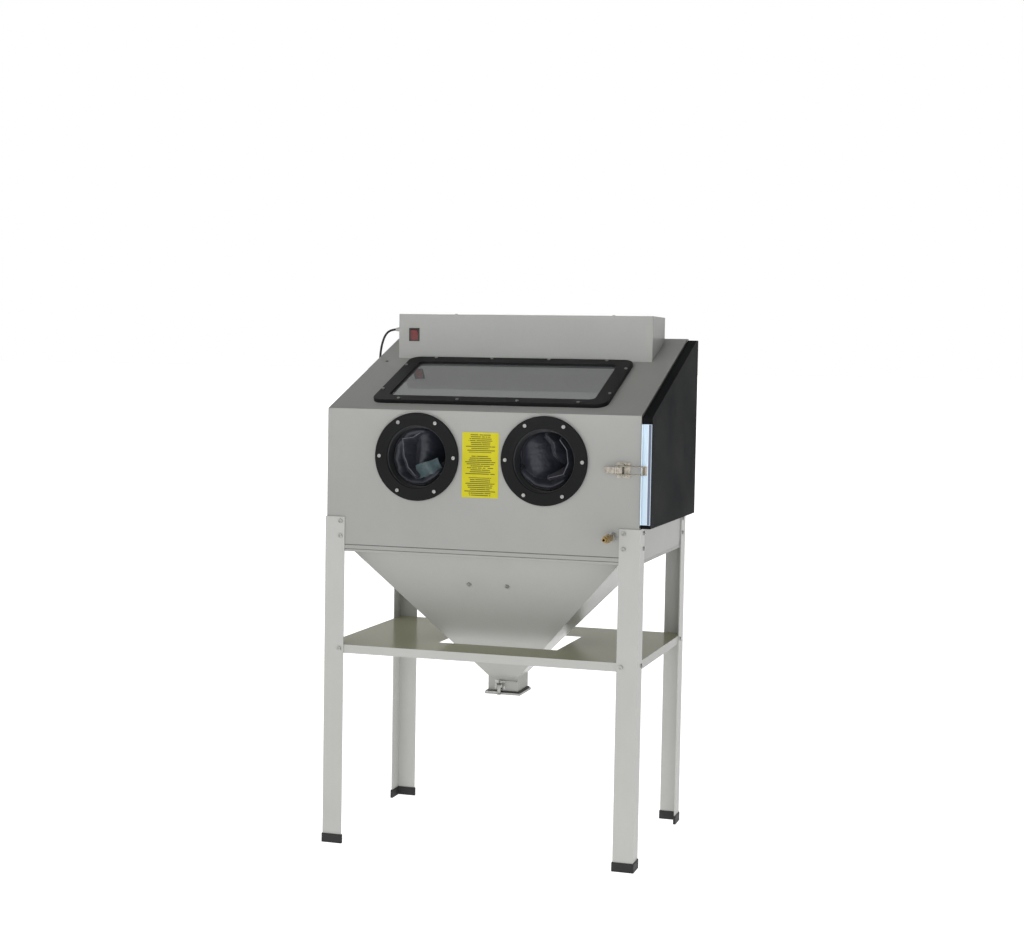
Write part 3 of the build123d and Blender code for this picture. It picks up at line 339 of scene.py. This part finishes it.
def make_materials():
    """Every material by its slot's name, or by the look's own name."""
    return {
        "cabinet_paint": gloss_paint("cabinet_paint", GREY),
        "leg_paint": gloss_paint("leg_paint", LEG_GREY),
        "hopper_paint": gloss_paint("hopper_paint", HOPPER_GREY, index=1.05),
        # The shelf's top is darker and olive: settled dust, plus painted shade under the cabinet.
        "shelf_paint": gloss_paint("shelf_paint", LEG_GREY, dust_and_shade=(0.40, 0.395, 0.28), index=1.06),
        "black_texture": textured_coat("black_texture", (0.0062, 0.0070, 0.0078)),
        "frame_black": moulding("frame_black", BLACK, 0.45, gloss=0.13),
        "rubber_black": moulding("rubber_black", (0.022, 0.022, 0.022), 0.62, 800, 0.0002),
        "glove_rubber": glove_skin("glove_rubber", (0.016, 0.018, 0.026)),
        "window_glass": pane("window_glass", (0.24, 0.25, 0.255), 0.72),
        "lamp_glass": pane("lamp_glass", (0.5, 0.5, 0.5), 0.35),
        "lamp_white": glowing("lamp_white", (0.9, 0.9, 0.88), 0.25),
        "white_plastic": moulding("white_plastic", (0.72, 0.72, 0.7), 0.4),
        "white_paint": gloss_paint("white_paint", (0.78, 0.78, 0.76)),
        "zinc": plated("zinc", (0.40, 0.40, 0.385), 0.24, 0.6),
        "nickel": plated("nickel", (0.40, 0.37, 0.32), 0.22, 0.6),
        "aluminium": drawn_metal("aluminium", (0.52, 0.64, 0.74), (900, 900, 6), 0.34),
        # A paler copy of the aluminium: a painted highlight on the grip's beads.
        "painted_highlight_edge": drawn_metal("painted_highlight_edge", (0.66, 0.74, 0.80), (900, 900, 6), 0.25),
        "shaded_edge": drawn_metal("shaded_edge", (0.16, 0.18, 0.25), (900, 900, 6), 0.4),
        "brass": plated("brass", (0.36, 0.26, 0.12), 0.22, 0.55),
        "switch_black": moulding("switch_black", (0.018, 0.016, 0.016), 0.3),
        "switch_red": moulding("switch_red", (0.15, 0.018, 0.017), 0.2, 900, 0.00004, 0.5),
        "gland_grey": moulding("gland_grey", (0.34, 0.34, 0.33), 0.45),
        "cord_black": moulding("cord_black", (0.014, 0.014, 0.014), 0.45, 900, 0.0001),
        "label_yellow": label_print("label_yellow", "front_label"),
        "gun_alloy": plated("gun_alloy", (0.52, 0.53, 0.54), 0.4),
        "ceramic": moulding("ceramic", (0.75, 0.71, 0.64), 0.3),
        "steel_tube": drawn_metal("steel_tube", (0.5, 0.5, 0.49), (60, 60, 60), 0.38),
        "joint_line": moulding("joint_line", (0.13, 0.13, 0.122), 0.5),
        "plug": plug_material("plug", "mains_plug"),
        "lining": lining_cloth("lining", (0.042, 0.070, 0.078)),
        # A much darker copy of the glove rubber: painted shade on the sleeves deep in the ports.
        "glove_painted_shade": glove_skin("glove_painted_shade", (0.008, 0.009, 0.011)),
        # Much paler than the glove: a painted highlight on the raised seams along the fold crests.
        "glove_welt_painted_highlight": moulding("glove_welt_painted_highlight", (0.11, 0.11, 0.13), 0.5),
    }


MATERIALS = make_materials()


# Nodes whose look differs from that of their slot.
OWN_LOOKS = {"mains_plug": "plug", "legs": "leg_paint", "shelf": "shelf_paint",
             "hopper": "hopper_paint", "hopper_spout": "hopper_paint"}


def finish_nodes():
    """Gives every CAD node its material by the record's slots, and some their own look."""
    for part in frame["record"]["subparts"]:
        node = NODES[part["node"]]
        for slot in node.material_slots:
            slot.material = MATERIALS[part["material_slot"]]
    for name, look in OWN_LOOKS.items():
        for slot in NODES[name].material_slots:
            slot.material = MATERIALS[look]


# ---- new pieces: shared helpers -------------------------------------------------------------
def add_object(name, data, material, body="cabinet"):
    data.materials.append(material)
    piece = bpy.data.objects.new(name, data)
    bpy.context.scene.collection.objects.link(piece)
    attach(piece, body)
    return piece


def smooth(mesh):
    for polygon in mesh.polygons:
        polygon.use_smooth = True


# ---- camera, light and floor ------------------------------------------------------------------
CAMERA_PLACE = (1.583, -5.1305, 1.433)
CAMERA_TURNS = (17.106, 3.547, -0.996)   # azimuth, elevation and roll in degrees
CAMERA_LENS = 62.53
SENSOR_WIDTH = 36.0


def add_camera():
    azimuth, elevation, roll = (math.radians(turn) for turn in CAMERA_TURNS)
    data = bpy.data.cameras.new("camera")
    data.sensor_width = SENSOR_WIDTH
    data.lens = CAMERA_LENS
    camera = bpy.data.objects.new("camera", data)
    bpy.context.scene.collection.objects.link(camera)
    back = Vector((math.sin(azimuth) * math.cos(elevation), -math.cos(azimuth) * math.cos(elevation),
                   math.sin(elevation)))
    level_right = Vector((math.cos(azimuth), math.sin(azimuth), 0.0))
    level_up = back.cross(level_right)
    right = math.cos(roll) * level_right - math.sin(roll) * level_up
    up = back.cross(right)
    turn = Matrix((right, up, back)).transposed().to_4x4()
    camera.matrix_world = Matrix.Translation(CAMERA_PLACE) @ turn
    bpy.context.scene.camera = camera


# The sky's levels: name, axis, where the fade starts and ends, and its level at each end.
FADES = (("overhead", "Z", 0.25, 1.0, 1.0, 0.15),
         ("right", "X", 0.06, 0.42, 0.0, 0.70),
         ("above", "Z", 0.0, 0.16, 0.0, 1.0))


def world_math(tree, operation, first, second):
    node = tree.nodes.new("ShaderNodeMath")
    node.operation = operation
    for socket, value in zip(node.inputs, (first, second)):
        if isinstance(value, float):
            socket.default_value = value
        else:
            tree.links.new(value, socket)
    return node.outputs["Value"]


def add_world():
    """White around the horizon, darker overhead and, above the horizon, to the right."""
    world = bpy.data.worlds.new("studio")
    bpy.context.scene.world = world
    world.use_nodes = True
    tree = world.node_tree
    place = tree.nodes.new("ShaderNodeTexCoord")
    split = tree.nodes.new("ShaderNodeSeparateXYZ")
    tree.links.new(place.outputs["Generated"], split.inputs["Vector"])
    levels = {}
    for name, axis, start, end, first, last in FADES:
        fade = tree.nodes.new("ShaderNodeMapRange")
        fade.interpolation_type = "SMOOTHSTEP"
        for key, number in (("From Min", start), ("From Max", end), ("To Min", first), ("To Max", last)):
            fade.inputs[key].default_value = number
        tree.links.new(split.outputs[axis], fade.inputs["Value"])
        levels[name] = fade.outputs["Result"]
    loss = world_math(tree, "MULTIPLY", levels["right"], levels["above"])
    side = world_math(tree, "SUBTRACT", 1.0, loss)
    tree.links.new(world_math(tree, "MULTIPLY", levels["overhead"], side),
                   tree.nodes["Background"].inputs["Strength"])
    tree.nodes["Background"].inputs["Color"].default_value = (1.0, 1.0, 1.0, 1.0)


# Area lamps: name, place, aim, size, watts, colour and beam in degrees.
LAMPS = (("key", (-2.2, -4.2, 1.6), (0.0, 0.0, 0.8), (2.6, 2.4), 4, (1.0, 0.99, 0.97), 180),
         ("fill", (2.2, -4.8, 1.2), (0.2, 0.0, 0.7), (2.4, 2.4), 27, (0.97, 0.985, 1.0), 180),
         ("box", (-0.2, -3.0, 2.0), (0.0, 0.1, 1.60), (1.2, 0.2), 0.72, (1.0, 1.0, 1.0), 22))


def add_lamp(name, place, aim, size, power, colour, beam):
    data = bpy.data.lights.new(name, "AREA")
    data.shape = "RECTANGLE"
    data.size, data.size_y = size
    data.energy = power
    data.color = colour
    data.spread = math.radians(beam)
    lamp = bpy.data.objects.new(name, data)
    bpy.context.scene.collection.objects.link(lamp)
    lamp.location = place
    lamp.rotation_euler = (Vector(aim) - Vector(place)).to_track_quat("-Z", "Y").to_euler()


def add_lights():
    for lamp in LAMPS:
        add_lamp(*lamp)


FLOOR_HALF = 300.0
FLOOR_DROP = 0.0005   # below the feet, so that no two faces share a plane


def add_floor():
    recipe = Recipe("floor")
    cloud = recipe.spread(recipe.noise(1.5, 3), 0.3, 0.7)
    recipe.colour(recipe.mix(cloud, (0.93, 0.93, 0.93), (0.95, 0.95, 0.95)))
    recipe.set(Roughness=0.9, Emission_Color=(1.0, 1.0, 1.0, 1.0), Emission_Strength=1.0)
    mesh = bpy.data.meshes.new("floor")
    corners = [(x * FLOOR_HALF, y * FLOOR_HALF, 0) for x, y in ((-1, -1), (1, -1), (1, 1), (-1, 1))]
    mesh.from_pydata(corners, [], [(0, 1, 2, 3)])
    mesh.materials.append(recipe.material)
    floor = bpy.data.objects.new("floor", mesh)
    bpy.context.scene.collection.objects.link(floor)
    floor.location.z = -FLOOR_DROP


# ---- mains lead ---------------------------------------------------------------------------------
CORD_DIAMETER = 0.007
COIL_CENTRE = Vector((-0.486, 0.1845, 1.300))
COIL_STEP = 0.0072
COIL_RADIUS = 0.0405
POINTS_PER_TURN = 16
COIL_CHANGE = 0.7   # share of a turn after which it shifts to the next turn's place
COIL_SHIFT = 0.3    # share of a turn that the shift takes


def lead_route():
    """From the gland, out and down behind the slope's left edge to the hook."""
    return [(-0.433, 0.1495, 1.535), (-0.451, 0.1495, 1.533), (-0.466, 0.1495, 1.522),
            (-0.476, 0.1505, 1.504), (-0.484, 0.1515, 1.477), (-0.488, 0.1525, 1.440),
            (-0.488, 0.151, 1.396), (-0.485, 0.1445, 1.352), (-0.4825, 0.138, 1.322)]


def coil_route():
    """Six tied turns: three that spiral in beside the wall, and three that spiral out over them."""
    layers = [(1, 1), (1, 0), (1, -1), (-1, -1), (-1, 0), (-1, 1)]
    points = []
    total = len(layers) * POINTS_PER_TURN
    for i in range(total):
        turn, share = divmod(i / POINTS_PER_TURN, 1.0)
        here = layers[int(turn)]
        after = layers[min(int(turn) + 1, len(layers) - 1)]
        blend = max(0.0, (share - COIL_CHANGE) / COIL_SHIFT)
        side = here[0] + (after[0] - here[0]) * blend
        ring = here[1] + (after[1] - here[1]) * blend
        radius = COIL_RADIUS + COIL_STEP * ring
        angle = 2 * math.pi * share
        points.append((COIL_CENTRE.x + side * COIL_STEP / 2,
                       COIL_CENTRE.y - radius * math.cos(angle),
                       COIL_CENTRE.z - radius * math.sin(angle)))
    return points


def tail_route():
    """From the coil's outer turn down to the plug."""
    return [(-0.4895, 0.1375, 1.286), (-0.4895, 0.1385, 1.268), (-0.4895, 0.142, 1.245),
            (-0.490, 0.1465, 1.2115)]


def nurbs(name, points, radius, material, body="cabinet"):
    curve = bpy.data.curves.new(name, "CURVE")
    curve.dimensions = "3D"
    curve.bevel_depth = radius
    curve.bevel_resolution = 4
    curve.use_fill_caps = True
    spline = curve.splines.new("NURBS")
    spline.points.add(len(points) - 1)
    for point, place in zip(spline.points, points):
        point.co = (*place, 1.0)
    spline.order_u = 3
    spline.use_endpoint_u = True
    curve.resolution_u = 6
    return add_object(name, curve, material, body)


def add_mains_lead():
    points = lead_route() + coil_route() + tail_route()
    lead = nurbs("mains_lead", points, CORD_DIAMETER / 2, MATERIALS["cord_black"])
    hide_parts("power_cord", "cord_coil")


# ---- rounded edges ------------------------------------------------------------------------------
WELD_GAP = 0.00002
BEVEL_ANGLE = 35   # degrees between two faces above which their edge is rounded
ROUNDED = {"feet": 0.0012, "trap_door": 0.0008, "trap_latch_base": 0.0004,
           "latch_base": 0.0004, "latch_lever": 0.0005, "door_strike": 0.0004, "switch_bezel": 0.0006,
           "switch_rocker": 0.0006, "mains_plug": 0.0007, "cord_hook": 0.0003}


def round_edges():
    """Joins each small part's faces and rounds its sharp edges."""
    for name, width in ROUNDED.items():
        node = NODES[name]
        weld = node.modifiers.new("weld", "WELD")
        weld.merge_threshold = WELD_GAP
        bevel = node.modifiers.new("bevel", "BEVEL")
        bevel.width = width
        bevel.segments = 2
        bevel.limit_method = "ANGLE"
        bevel.angle_limit = math.radians(BEVEL_ANGLE)
        bevel.use_clamp_overlap = True
        bevel.harden_normals = False
        node.modifiers.new("normals", "WEIGHTED_NORMAL").keep_sharp = True


# ---- gloves --------------------------------------------------------------------------------------------
HAND_RADIUS = 0.0845
# The sleeve's depth behind the ring, its drop and its radius.
SLEEVE = ((0.0, 0.0, 0.088), (0.103, -0.008, 0.080), (0.223, -0.030, 0.064), (0.333, -0.060, 0.052),
          (0.403, -0.082, 0.048), (0.458, -0.098, 0.036), (0.470, -0.101, 0.012))
# Folds of each drawn-back hand, seen from the front: a line across the port (1 is its radius), how
# deep its crest lies, how fast it falls away on each side, and whether the crest is sharp.
FOLDS = {
    "left": (
        (((0.12, 0.93), (-0.40, 0.78), (-0.74, 0.38), (-0.82, -0.10), (-0.68, -0.52)), 0.014, 0.27, False),
        (((-0.56, 0.58), (-0.50, 0.04), (-0.34, -0.37), (-0.06, -0.68)), 0.008, 0.26, True),
        (((0.10, 0.92), (0.14, 0.35), (0.04, -0.40)), 0.026, 0.40, False),
        (((-0.60, 0.60), (-0.20, 0.66), (0.08, 0.84)), 0.014, 0.20, True),
        (((-0.80, -0.55), (-0.35, -0.86), (0.20, -0.90), (0.76, -0.52)), 0.012, 0.24, False),
    ),
    "right": (
        (((-0.44, 0.52), (-0.40, 0.05), (-0.36, -0.18)), 0.010, 0.54, False),
        (((0.06, 0.86), (0.30, 0.62), (0.36, 0.30)), 0.009, 0.21, True),
        (((0.52, 0.72), (0.76, 0.40), (0.82, -0.06), (0.66, -0.43), (0.10, -0.58)), 0.006, 0.11, True),
        (((-0.84, -0.42), (-0.35, -0.80), (0.10, -0.88)), 0.014, 0.26, False),
        (((0.22, -0.88), (0.64, -0.66)), 0.012, 0.22, False),
    ),
}
LINING_CREST = 0.0095     # depth of the lining's crest behind the ring
LINING_FALL = 0.012       # how far it falls away beside the crest
LINING_WAVE = 0.006
LINING_CREASE = 0.0015
LINING_CORNERS = ((0.02, -0.76), (0.88, -0.57), (0.68, -0.02), (-0.15, -0.31))
WELTS = {"left": (1, 3), "right": (2,)}
WELT_RADIUS = 0.0011
WELT_PROUD = 0.0008
WELT_STEPS = 14           # points on each straight piece of a welt's line
HOLLOW_DEPTH = 0.130      # behind the ring, in the middle of the port where no fold lies
HOLLOW_RISE = 0.070       # how much nearer that is at the port's edge
FOLD_FALL = 0.036         # how far a fold falls away at its own width
RIM_START = 0.90          # share of the radius where the hand turns to meet the sleeve
RIM_WIDTH = 0.10
RIM_DEPTH = 0.040
CREASE = 0.0022
FINE_CREASE = 0.0008
CRUMPLE_ACROSS = 26       # noise scales across and along the sleeve
CRUMPLE_ALONG = 15
CRUMPLE_GAIN = 1.5
CUFF_RINGS = [(-0.0015, 0.0, 0.122), (-0.0015, 0.0, 0.100), (-0.0008, 0.0, 0.0895)]
SLEEVE_SMOOTH = 0.07      # length of sleeve at the cuff without folds
SLEEVE_EASE = 0.05        # length over which the folds set in
SLEEVE_FOLD = 0.011       # deepest fold
SLEEVE_FOLD_SHARE = 0.22  # deepest fold as a share of the radius
SLEEVE_RIPPLE = 0.35
SLEEVE_SKIN = 0.0013
HAND_SKIN = 0.0012


def port_middle(side):
    """Middle of a port at the back of its ring."""
    lo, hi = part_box(f"glove_ring_{side}")
    return Vector(((lo.x + hi.x) / 2, hi.y, (lo.z + hi.z) / 2))


def sleeve_at(depth):
    """Drop and radius of the sleeve at a depth behind the ring."""
    for (d0, z0, r0), (d1, z1, r1) in zip(SLEEVE, SLEEVE[1:]):
        if depth <= d1:
            t = (depth - d0) / (d1 - d0)
            return z0 + (z1 - z0) * t, r0 + (r1 - r0) * t
    return SLEEVE[-1][1:]


def crumple(point, seed):
    """Soft creases from stretched noise, between -1 and 1."""
    at = Vector((point.x * CRUMPLE_ACROSS, point.y * CRUMPLE_ALONG, point.z * CRUMPLE_ACROSS))
    at += Vector((seed * 3.1, seed * 1.7, seed * 2.3))
    value = noise.noise(at) + 0.5 * noise.noise(at * 2.1)
    return max(-1.0, min(1.0, CRUMPLE_GAIN * value))


def sleeve_mesh(name, middle, seed):
    """Clamped cuff, and the sleeve that runs back into the chamber with soft rings of folds."""
    around, along = 96, 90
    rings = list(CUFF_RINGS)
    last = SLEEVE[-1][0]
    for i in range(along + 1):
        depth = last * (i / along) ** 0.9
        rings.append((depth, *sleeve_at(depth)))
    vertices, faces = [], []
    for depth, drop, radius in rings:
        for k in range(around):
            angle = 2 * math.pi * k / around
            base = middle + Vector((math.cos(angle) * radius, depth, math.sin(angle) * radius + drop))
            give = max(0.0, min(1.0, (depth - SLEEVE_SMOOTH) / SLEEVE_EASE))
            give *= min(SLEEVE_FOLD, radius * SLEEVE_FOLD_SHARE)
            ripple = SLEEVE_RIPPLE * math.sin(depth * 150 + 2.5 * math.sin(angle * 2 + seed))
            pull = -give * (0.5 - 0.5 * (0.65 * crumple(base, seed) + ripple))
            vertices.append(tuple(base + Vector((math.cos(angle) * pull, 0.0, math.sin(angle) * pull))))
    for i in range(len(rings) - 1):
        for k in range(around):
            a, b = i * around + k, i * around + (k + 1) % around
            faces.append((a, b, b + around, a + around))
    vertices.append(tuple(middle + Vector((0.0, last + 0.002, SLEEVE[-1][1]))))
    tip, start = len(vertices) - 1, (len(rings) - 1) * around
    faces += [(start + k, start + (k + 1) % around, tip) for k in range(around)]
    mesh = bpy.data.meshes.new(name)
    mesh.from_pydata(vertices, [], faces)
    return mesh


def distance_to_line(spot, line):
    """Shortest distance from a spot to a run of straight pieces."""
    best = 9.0
    for start, end in zip(line, line[1:]):
        a, b = Vector(start), Vector(end)
        run = b - a
        t = max(0.0, min(1.0, (spot - a).dot(run) / run.length_squared))
        best = min(best, (spot - a - run * t).length)
    return best


def softest(depths, blend=0.0025):
    """Smooth least value, so that neighbouring folds meet in a rounded valley."""
    least = min(depths)
    return least - blend * math.log(sum(math.exp((least - d) / blend) for d in depths))


def fold_depth(side, spot):
    """How far behind the ring the crumpled hand lies at a spot of the port."""
    reach = min(spot.length, 1.0)
    depths = [HOLLOW_DEPTH - HOLLOW_RISE * reach * reach]
    for line, crest, width, sharp in FOLDS[side]:
        away = distance_to_line(spot, line) / width
        depths.append(crest + FOLD_FALL * (away if sharp else away * away))
    rim = max(0.0, (reach - RIM_START) / RIM_WIDTH) ** 2
    return softest(depths) * (1.0 - rim) + RIM_DEPTH * rim


def hand_point(side, middle, seed, spot):
    """Place of a spot of the drawn-back hand, with its folds and creases."""
    inner = 1.0 - min(1.0, spot.length) ** 6
    place = middle + Vector((spot.x * HAND_RADIUS, fold_depth(side, spot), spot.y * HAND_RADIUS))
    place.y += inner * (CREASE * crumple(place, seed) + FINE_CREASE * crumple(place * 3, seed + 1))
    return place


def hand_mesh(side, middle, seed):
    """The drawn-back hand of a glove, crumpled in the port, on rings of points."""
    around, along = 132, 60
    spots = [Vector((0.0, 0.0))]
    for i in range(1, along + 1):
        for k in range(around):
            angle = 2 * math.pi * k / around
            spots.append(Vector((math.cos(angle), math.sin(angle))) * (i / along))
    vertices = [tuple(hand_point(side, middle, seed, spot)) for spot in spots]
    faces = [(0, 1 + (k + 1) % around, 1 + k) for k in range(around)]
    for i in range(along - 1):
        for k in range(around):
            a, b = 1 + i * around + k, 1 + i * around + (k + 1) % around
            faces.append((a, b, b + around, a + around))
    mesh = bpy.data.meshes.new(f"glove_hand_{side}")
    mesh.from_pydata(vertices, [], faces)
    return mesh


def lining_mesh(middle):
    """The turned-back corner of the left glove's lining, folded along a slanting crest."""
    wide, tall = 22, 16
    low_left, low_right, high_right, high_left = (Vector(c) for c in LINING_CORNERS)
    vertices, faces = [], []
    for j in range(tall + 1):
        for i in range(wide + 1):
            s, t = i / wide, j / tall
            spot = low_left.lerp(low_right, s).lerp(high_left.lerp(high_right, s), t)
            off_crest = abs(s - 0.72 + 0.15 * t)
            depth = LINING_CREST + LINING_FALL * (1 - math.exp(-(off_crest * 5) ** 2))
            depth += LINING_WAVE * math.sin(3 * t + 1) * s
            depth += LINING_CREASE * noise.noise(Vector((s * 6, t * 6, 2.0)))
            spot += Vector((0.012 * math.sin(7 * t), 0.014 * math.sin(7 * s)))
            vertices.append(tuple(middle + Vector((spot.x * HAND_RADIUS, depth, spot.y * HAND_RADIUS))))
    for j in range(tall):
        for i in range(wide):
            a = j * (wide + 1) + i
            faces.append((a, a + 1, a + wide + 2, a + wide + 1))
    mesh = bpy.data.meshes.new("glove_lining")
    mesh.from_pydata(vertices, [], faces)
    for polygon in mesh.polygons:
        polygon.material_index = 1
    return mesh


def add_lining(mesh, middle):
    """Joins the lining's corner to the left hand, with its own material."""
    flap = lining_mesh(middle)
    joined = bmesh.new()
    joined.from_mesh(mesh)
    joined.from_mesh(flap)
    joined.to_mesh(mesh)
    joined.free()
    bpy.data.meshes.remove(flap)
    mesh.materials.append(MATERIALS["lining"])


def add_hand(side, middle, seed):
    """The hand, with its skin's thickness; the left one shows a corner of its lining."""
    mesh = hand_mesh(side, middle, seed)
    piece = add_object(mesh.name, mesh, MATERIALS["glove_rubber"], "cabinet")
    if side == "left":
        add_lining(mesh, middle)
    smooth(mesh)
    skin = piece.modifiers.new("skin", "SOLIDIFY")
    skin.thickness = HAND_SKIN
    skin.offset = 0.0
    round_off = piece.modifiers.new("round", "SUBSURF")
    round_off.levels = 1
    round_off.render_levels = 1


def add_welts(side, middle, seed):
    """Taped seams that stand up along the sharp folds, coloured much paler than the glove as a painted
    highlight along the crests.
    """
    for number in WELTS[side]:
        line = [Vector(spot) for spot in FOLDS[side][number][0]]
        points = []
        for start, end in zip(line, line[1:]):
            for i in range(WELT_STEPS):
                place = hand_point(side, middle, seed, start.lerp(end, i / WELT_STEPS))
                points.append(place - Vector((0.0, WELT_PROUD, 0.0)))
        welt = nurbs(f"glove_welt_{side}_{number}", points, WELT_RADIUS, MATERIALS["glove_welt_painted_highlight"])


GLOVE_SEEDS = {"left": 3, "right": 8}


def add_gloves():
    """Both gloves; each sleeve stands for its glove's CAD solid."""
    for side, seed in GLOVE_SEEDS.items():
        middle = port_middle(side)
        mesh = sleeve_mesh(f"glove_sleeve_{side}", middle, seed)
        smooth(mesh)
        # The sleeve's material is painted shade: the glove rubber made much darker.
        sleeve = add_object(mesh.name, mesh, MATERIALS["glove_painted_shade"], "cabinet")
        skin = sleeve.modifiers.new("skin", "SOLIDIFY")
        skin.thickness = SLEEVE_SKIN
        skin.offset = -1.0
        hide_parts(f"glove_{side}")
        add_hand(side, middle, seed)
        add_welts(side, middle, seed)


# ---- folded strips ------------------------------------------------------------------------------------
# Each strip: its name, its two edges from the datum, how far it stands proud, material and rounding.
FLANGE_STRIPS = (("hopper_flange", 0.0012, 0.0118, 0.0010, "cabinet_paint", 0.0005),
                 ("flange_joint_top", 0.0122, 0.0140, 0.0003, "joint_line", 0.0001),
                 ("flange_joint_low", -0.0008, 0.0008, 0.0005, "joint_line", 0.0002))
FLANGE_INSET = 0.047     # from the panel's sides, behind the legs
FLANGE_SUNK = 0.0011     # how far the strips reach into the panel
# The beads take a paler copy of the aluminium as a painted highlight, and the return a darker copy as
# painted shade.
GRIP_STRIPS = (("grip_bead_outer", 0.0004, 0.0030, 0.0007, "painted_highlight_edge", 0.0003),
               ("grip_bead_inner", 0.0180, 0.0204, 0.0007, "painted_highlight_edge", 0.0003),
               ("grip_return", 0.0206, 0.0276, 0.0003, "shaded_edge", 0.0003))
GRIP_END = 0.001         # the strips stop this far short of the profile's ends
GRIP_SUNK = 0.0004


def add_strip(name, lo, hi, material, rounding, body="cabinet"):
    """A thin folded strip between two corners, with its edges rounded."""
    mesh = bpy.data.meshes.new(name)
    form = bmesh.new()
    bmesh.ops.create_cube(form, size=1.0)
    middle, size = (lo + hi) / 2, hi - lo
    for vertex in form.verts:
        vertex.co = Vector(m + c * s for m, c, s in zip(middle, vertex.co, size))
    bmesh.ops.bevel(form, geom=form.edges[:], offset=rounding, segments=3, profile=0.6, affect="EDGES")
    form.to_mesh(mesh)
    form.free()
    return add_object(name, mesh, MATERIALS[material], body)


def add_hopper_flange():
    """The rolled lip that the hopper hangs from: a pale strip between two dark joints."""
    panel_lo, panel_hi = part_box("front_panel")
    frame_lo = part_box("bottom_frame")[0]
    left, right = panel_lo.x + FLANGE_INSET, panel_hi.x - FLANGE_INSET
    for name, low, high, proud, material, rounding in FLANGE_STRIPS:
        add_strip(name, Vector((left, panel_lo.y - proud, frame_lo.z + low)),
                  Vector((right, panel_lo.y + FLANGE_SUNK, frame_lo.z + high)), material, rounding)


def add_grip_beads():
    """Two drawn beads coloured paler as a painted highlight, and a return coloured darker as painted
    shade, along the door's edge profile.
    """
    lo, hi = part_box("door_edge_grip")
    for name, start, end, proud, material, rounding in GRIP_STRIPS:
        add_strip(name, Vector((lo.x + start, lo.y - proud, lo.z + GRIP_END)),
                  Vector((lo.x + end, lo.y + GRIP_SUNK, hi.z - GRIP_END)), material, rounding,
                  "door")


# ---- build ---------------------------------------------------------------------------------------------
bpy.context.scene.view_settings.view_transform = "Standard"
add_camera()
add_mains_lead()
add_world()
add_lights()
add_floor()
finish_nodes()
round_edges()
add_gloves()
add_hopper_flange()
add_grip_beads()
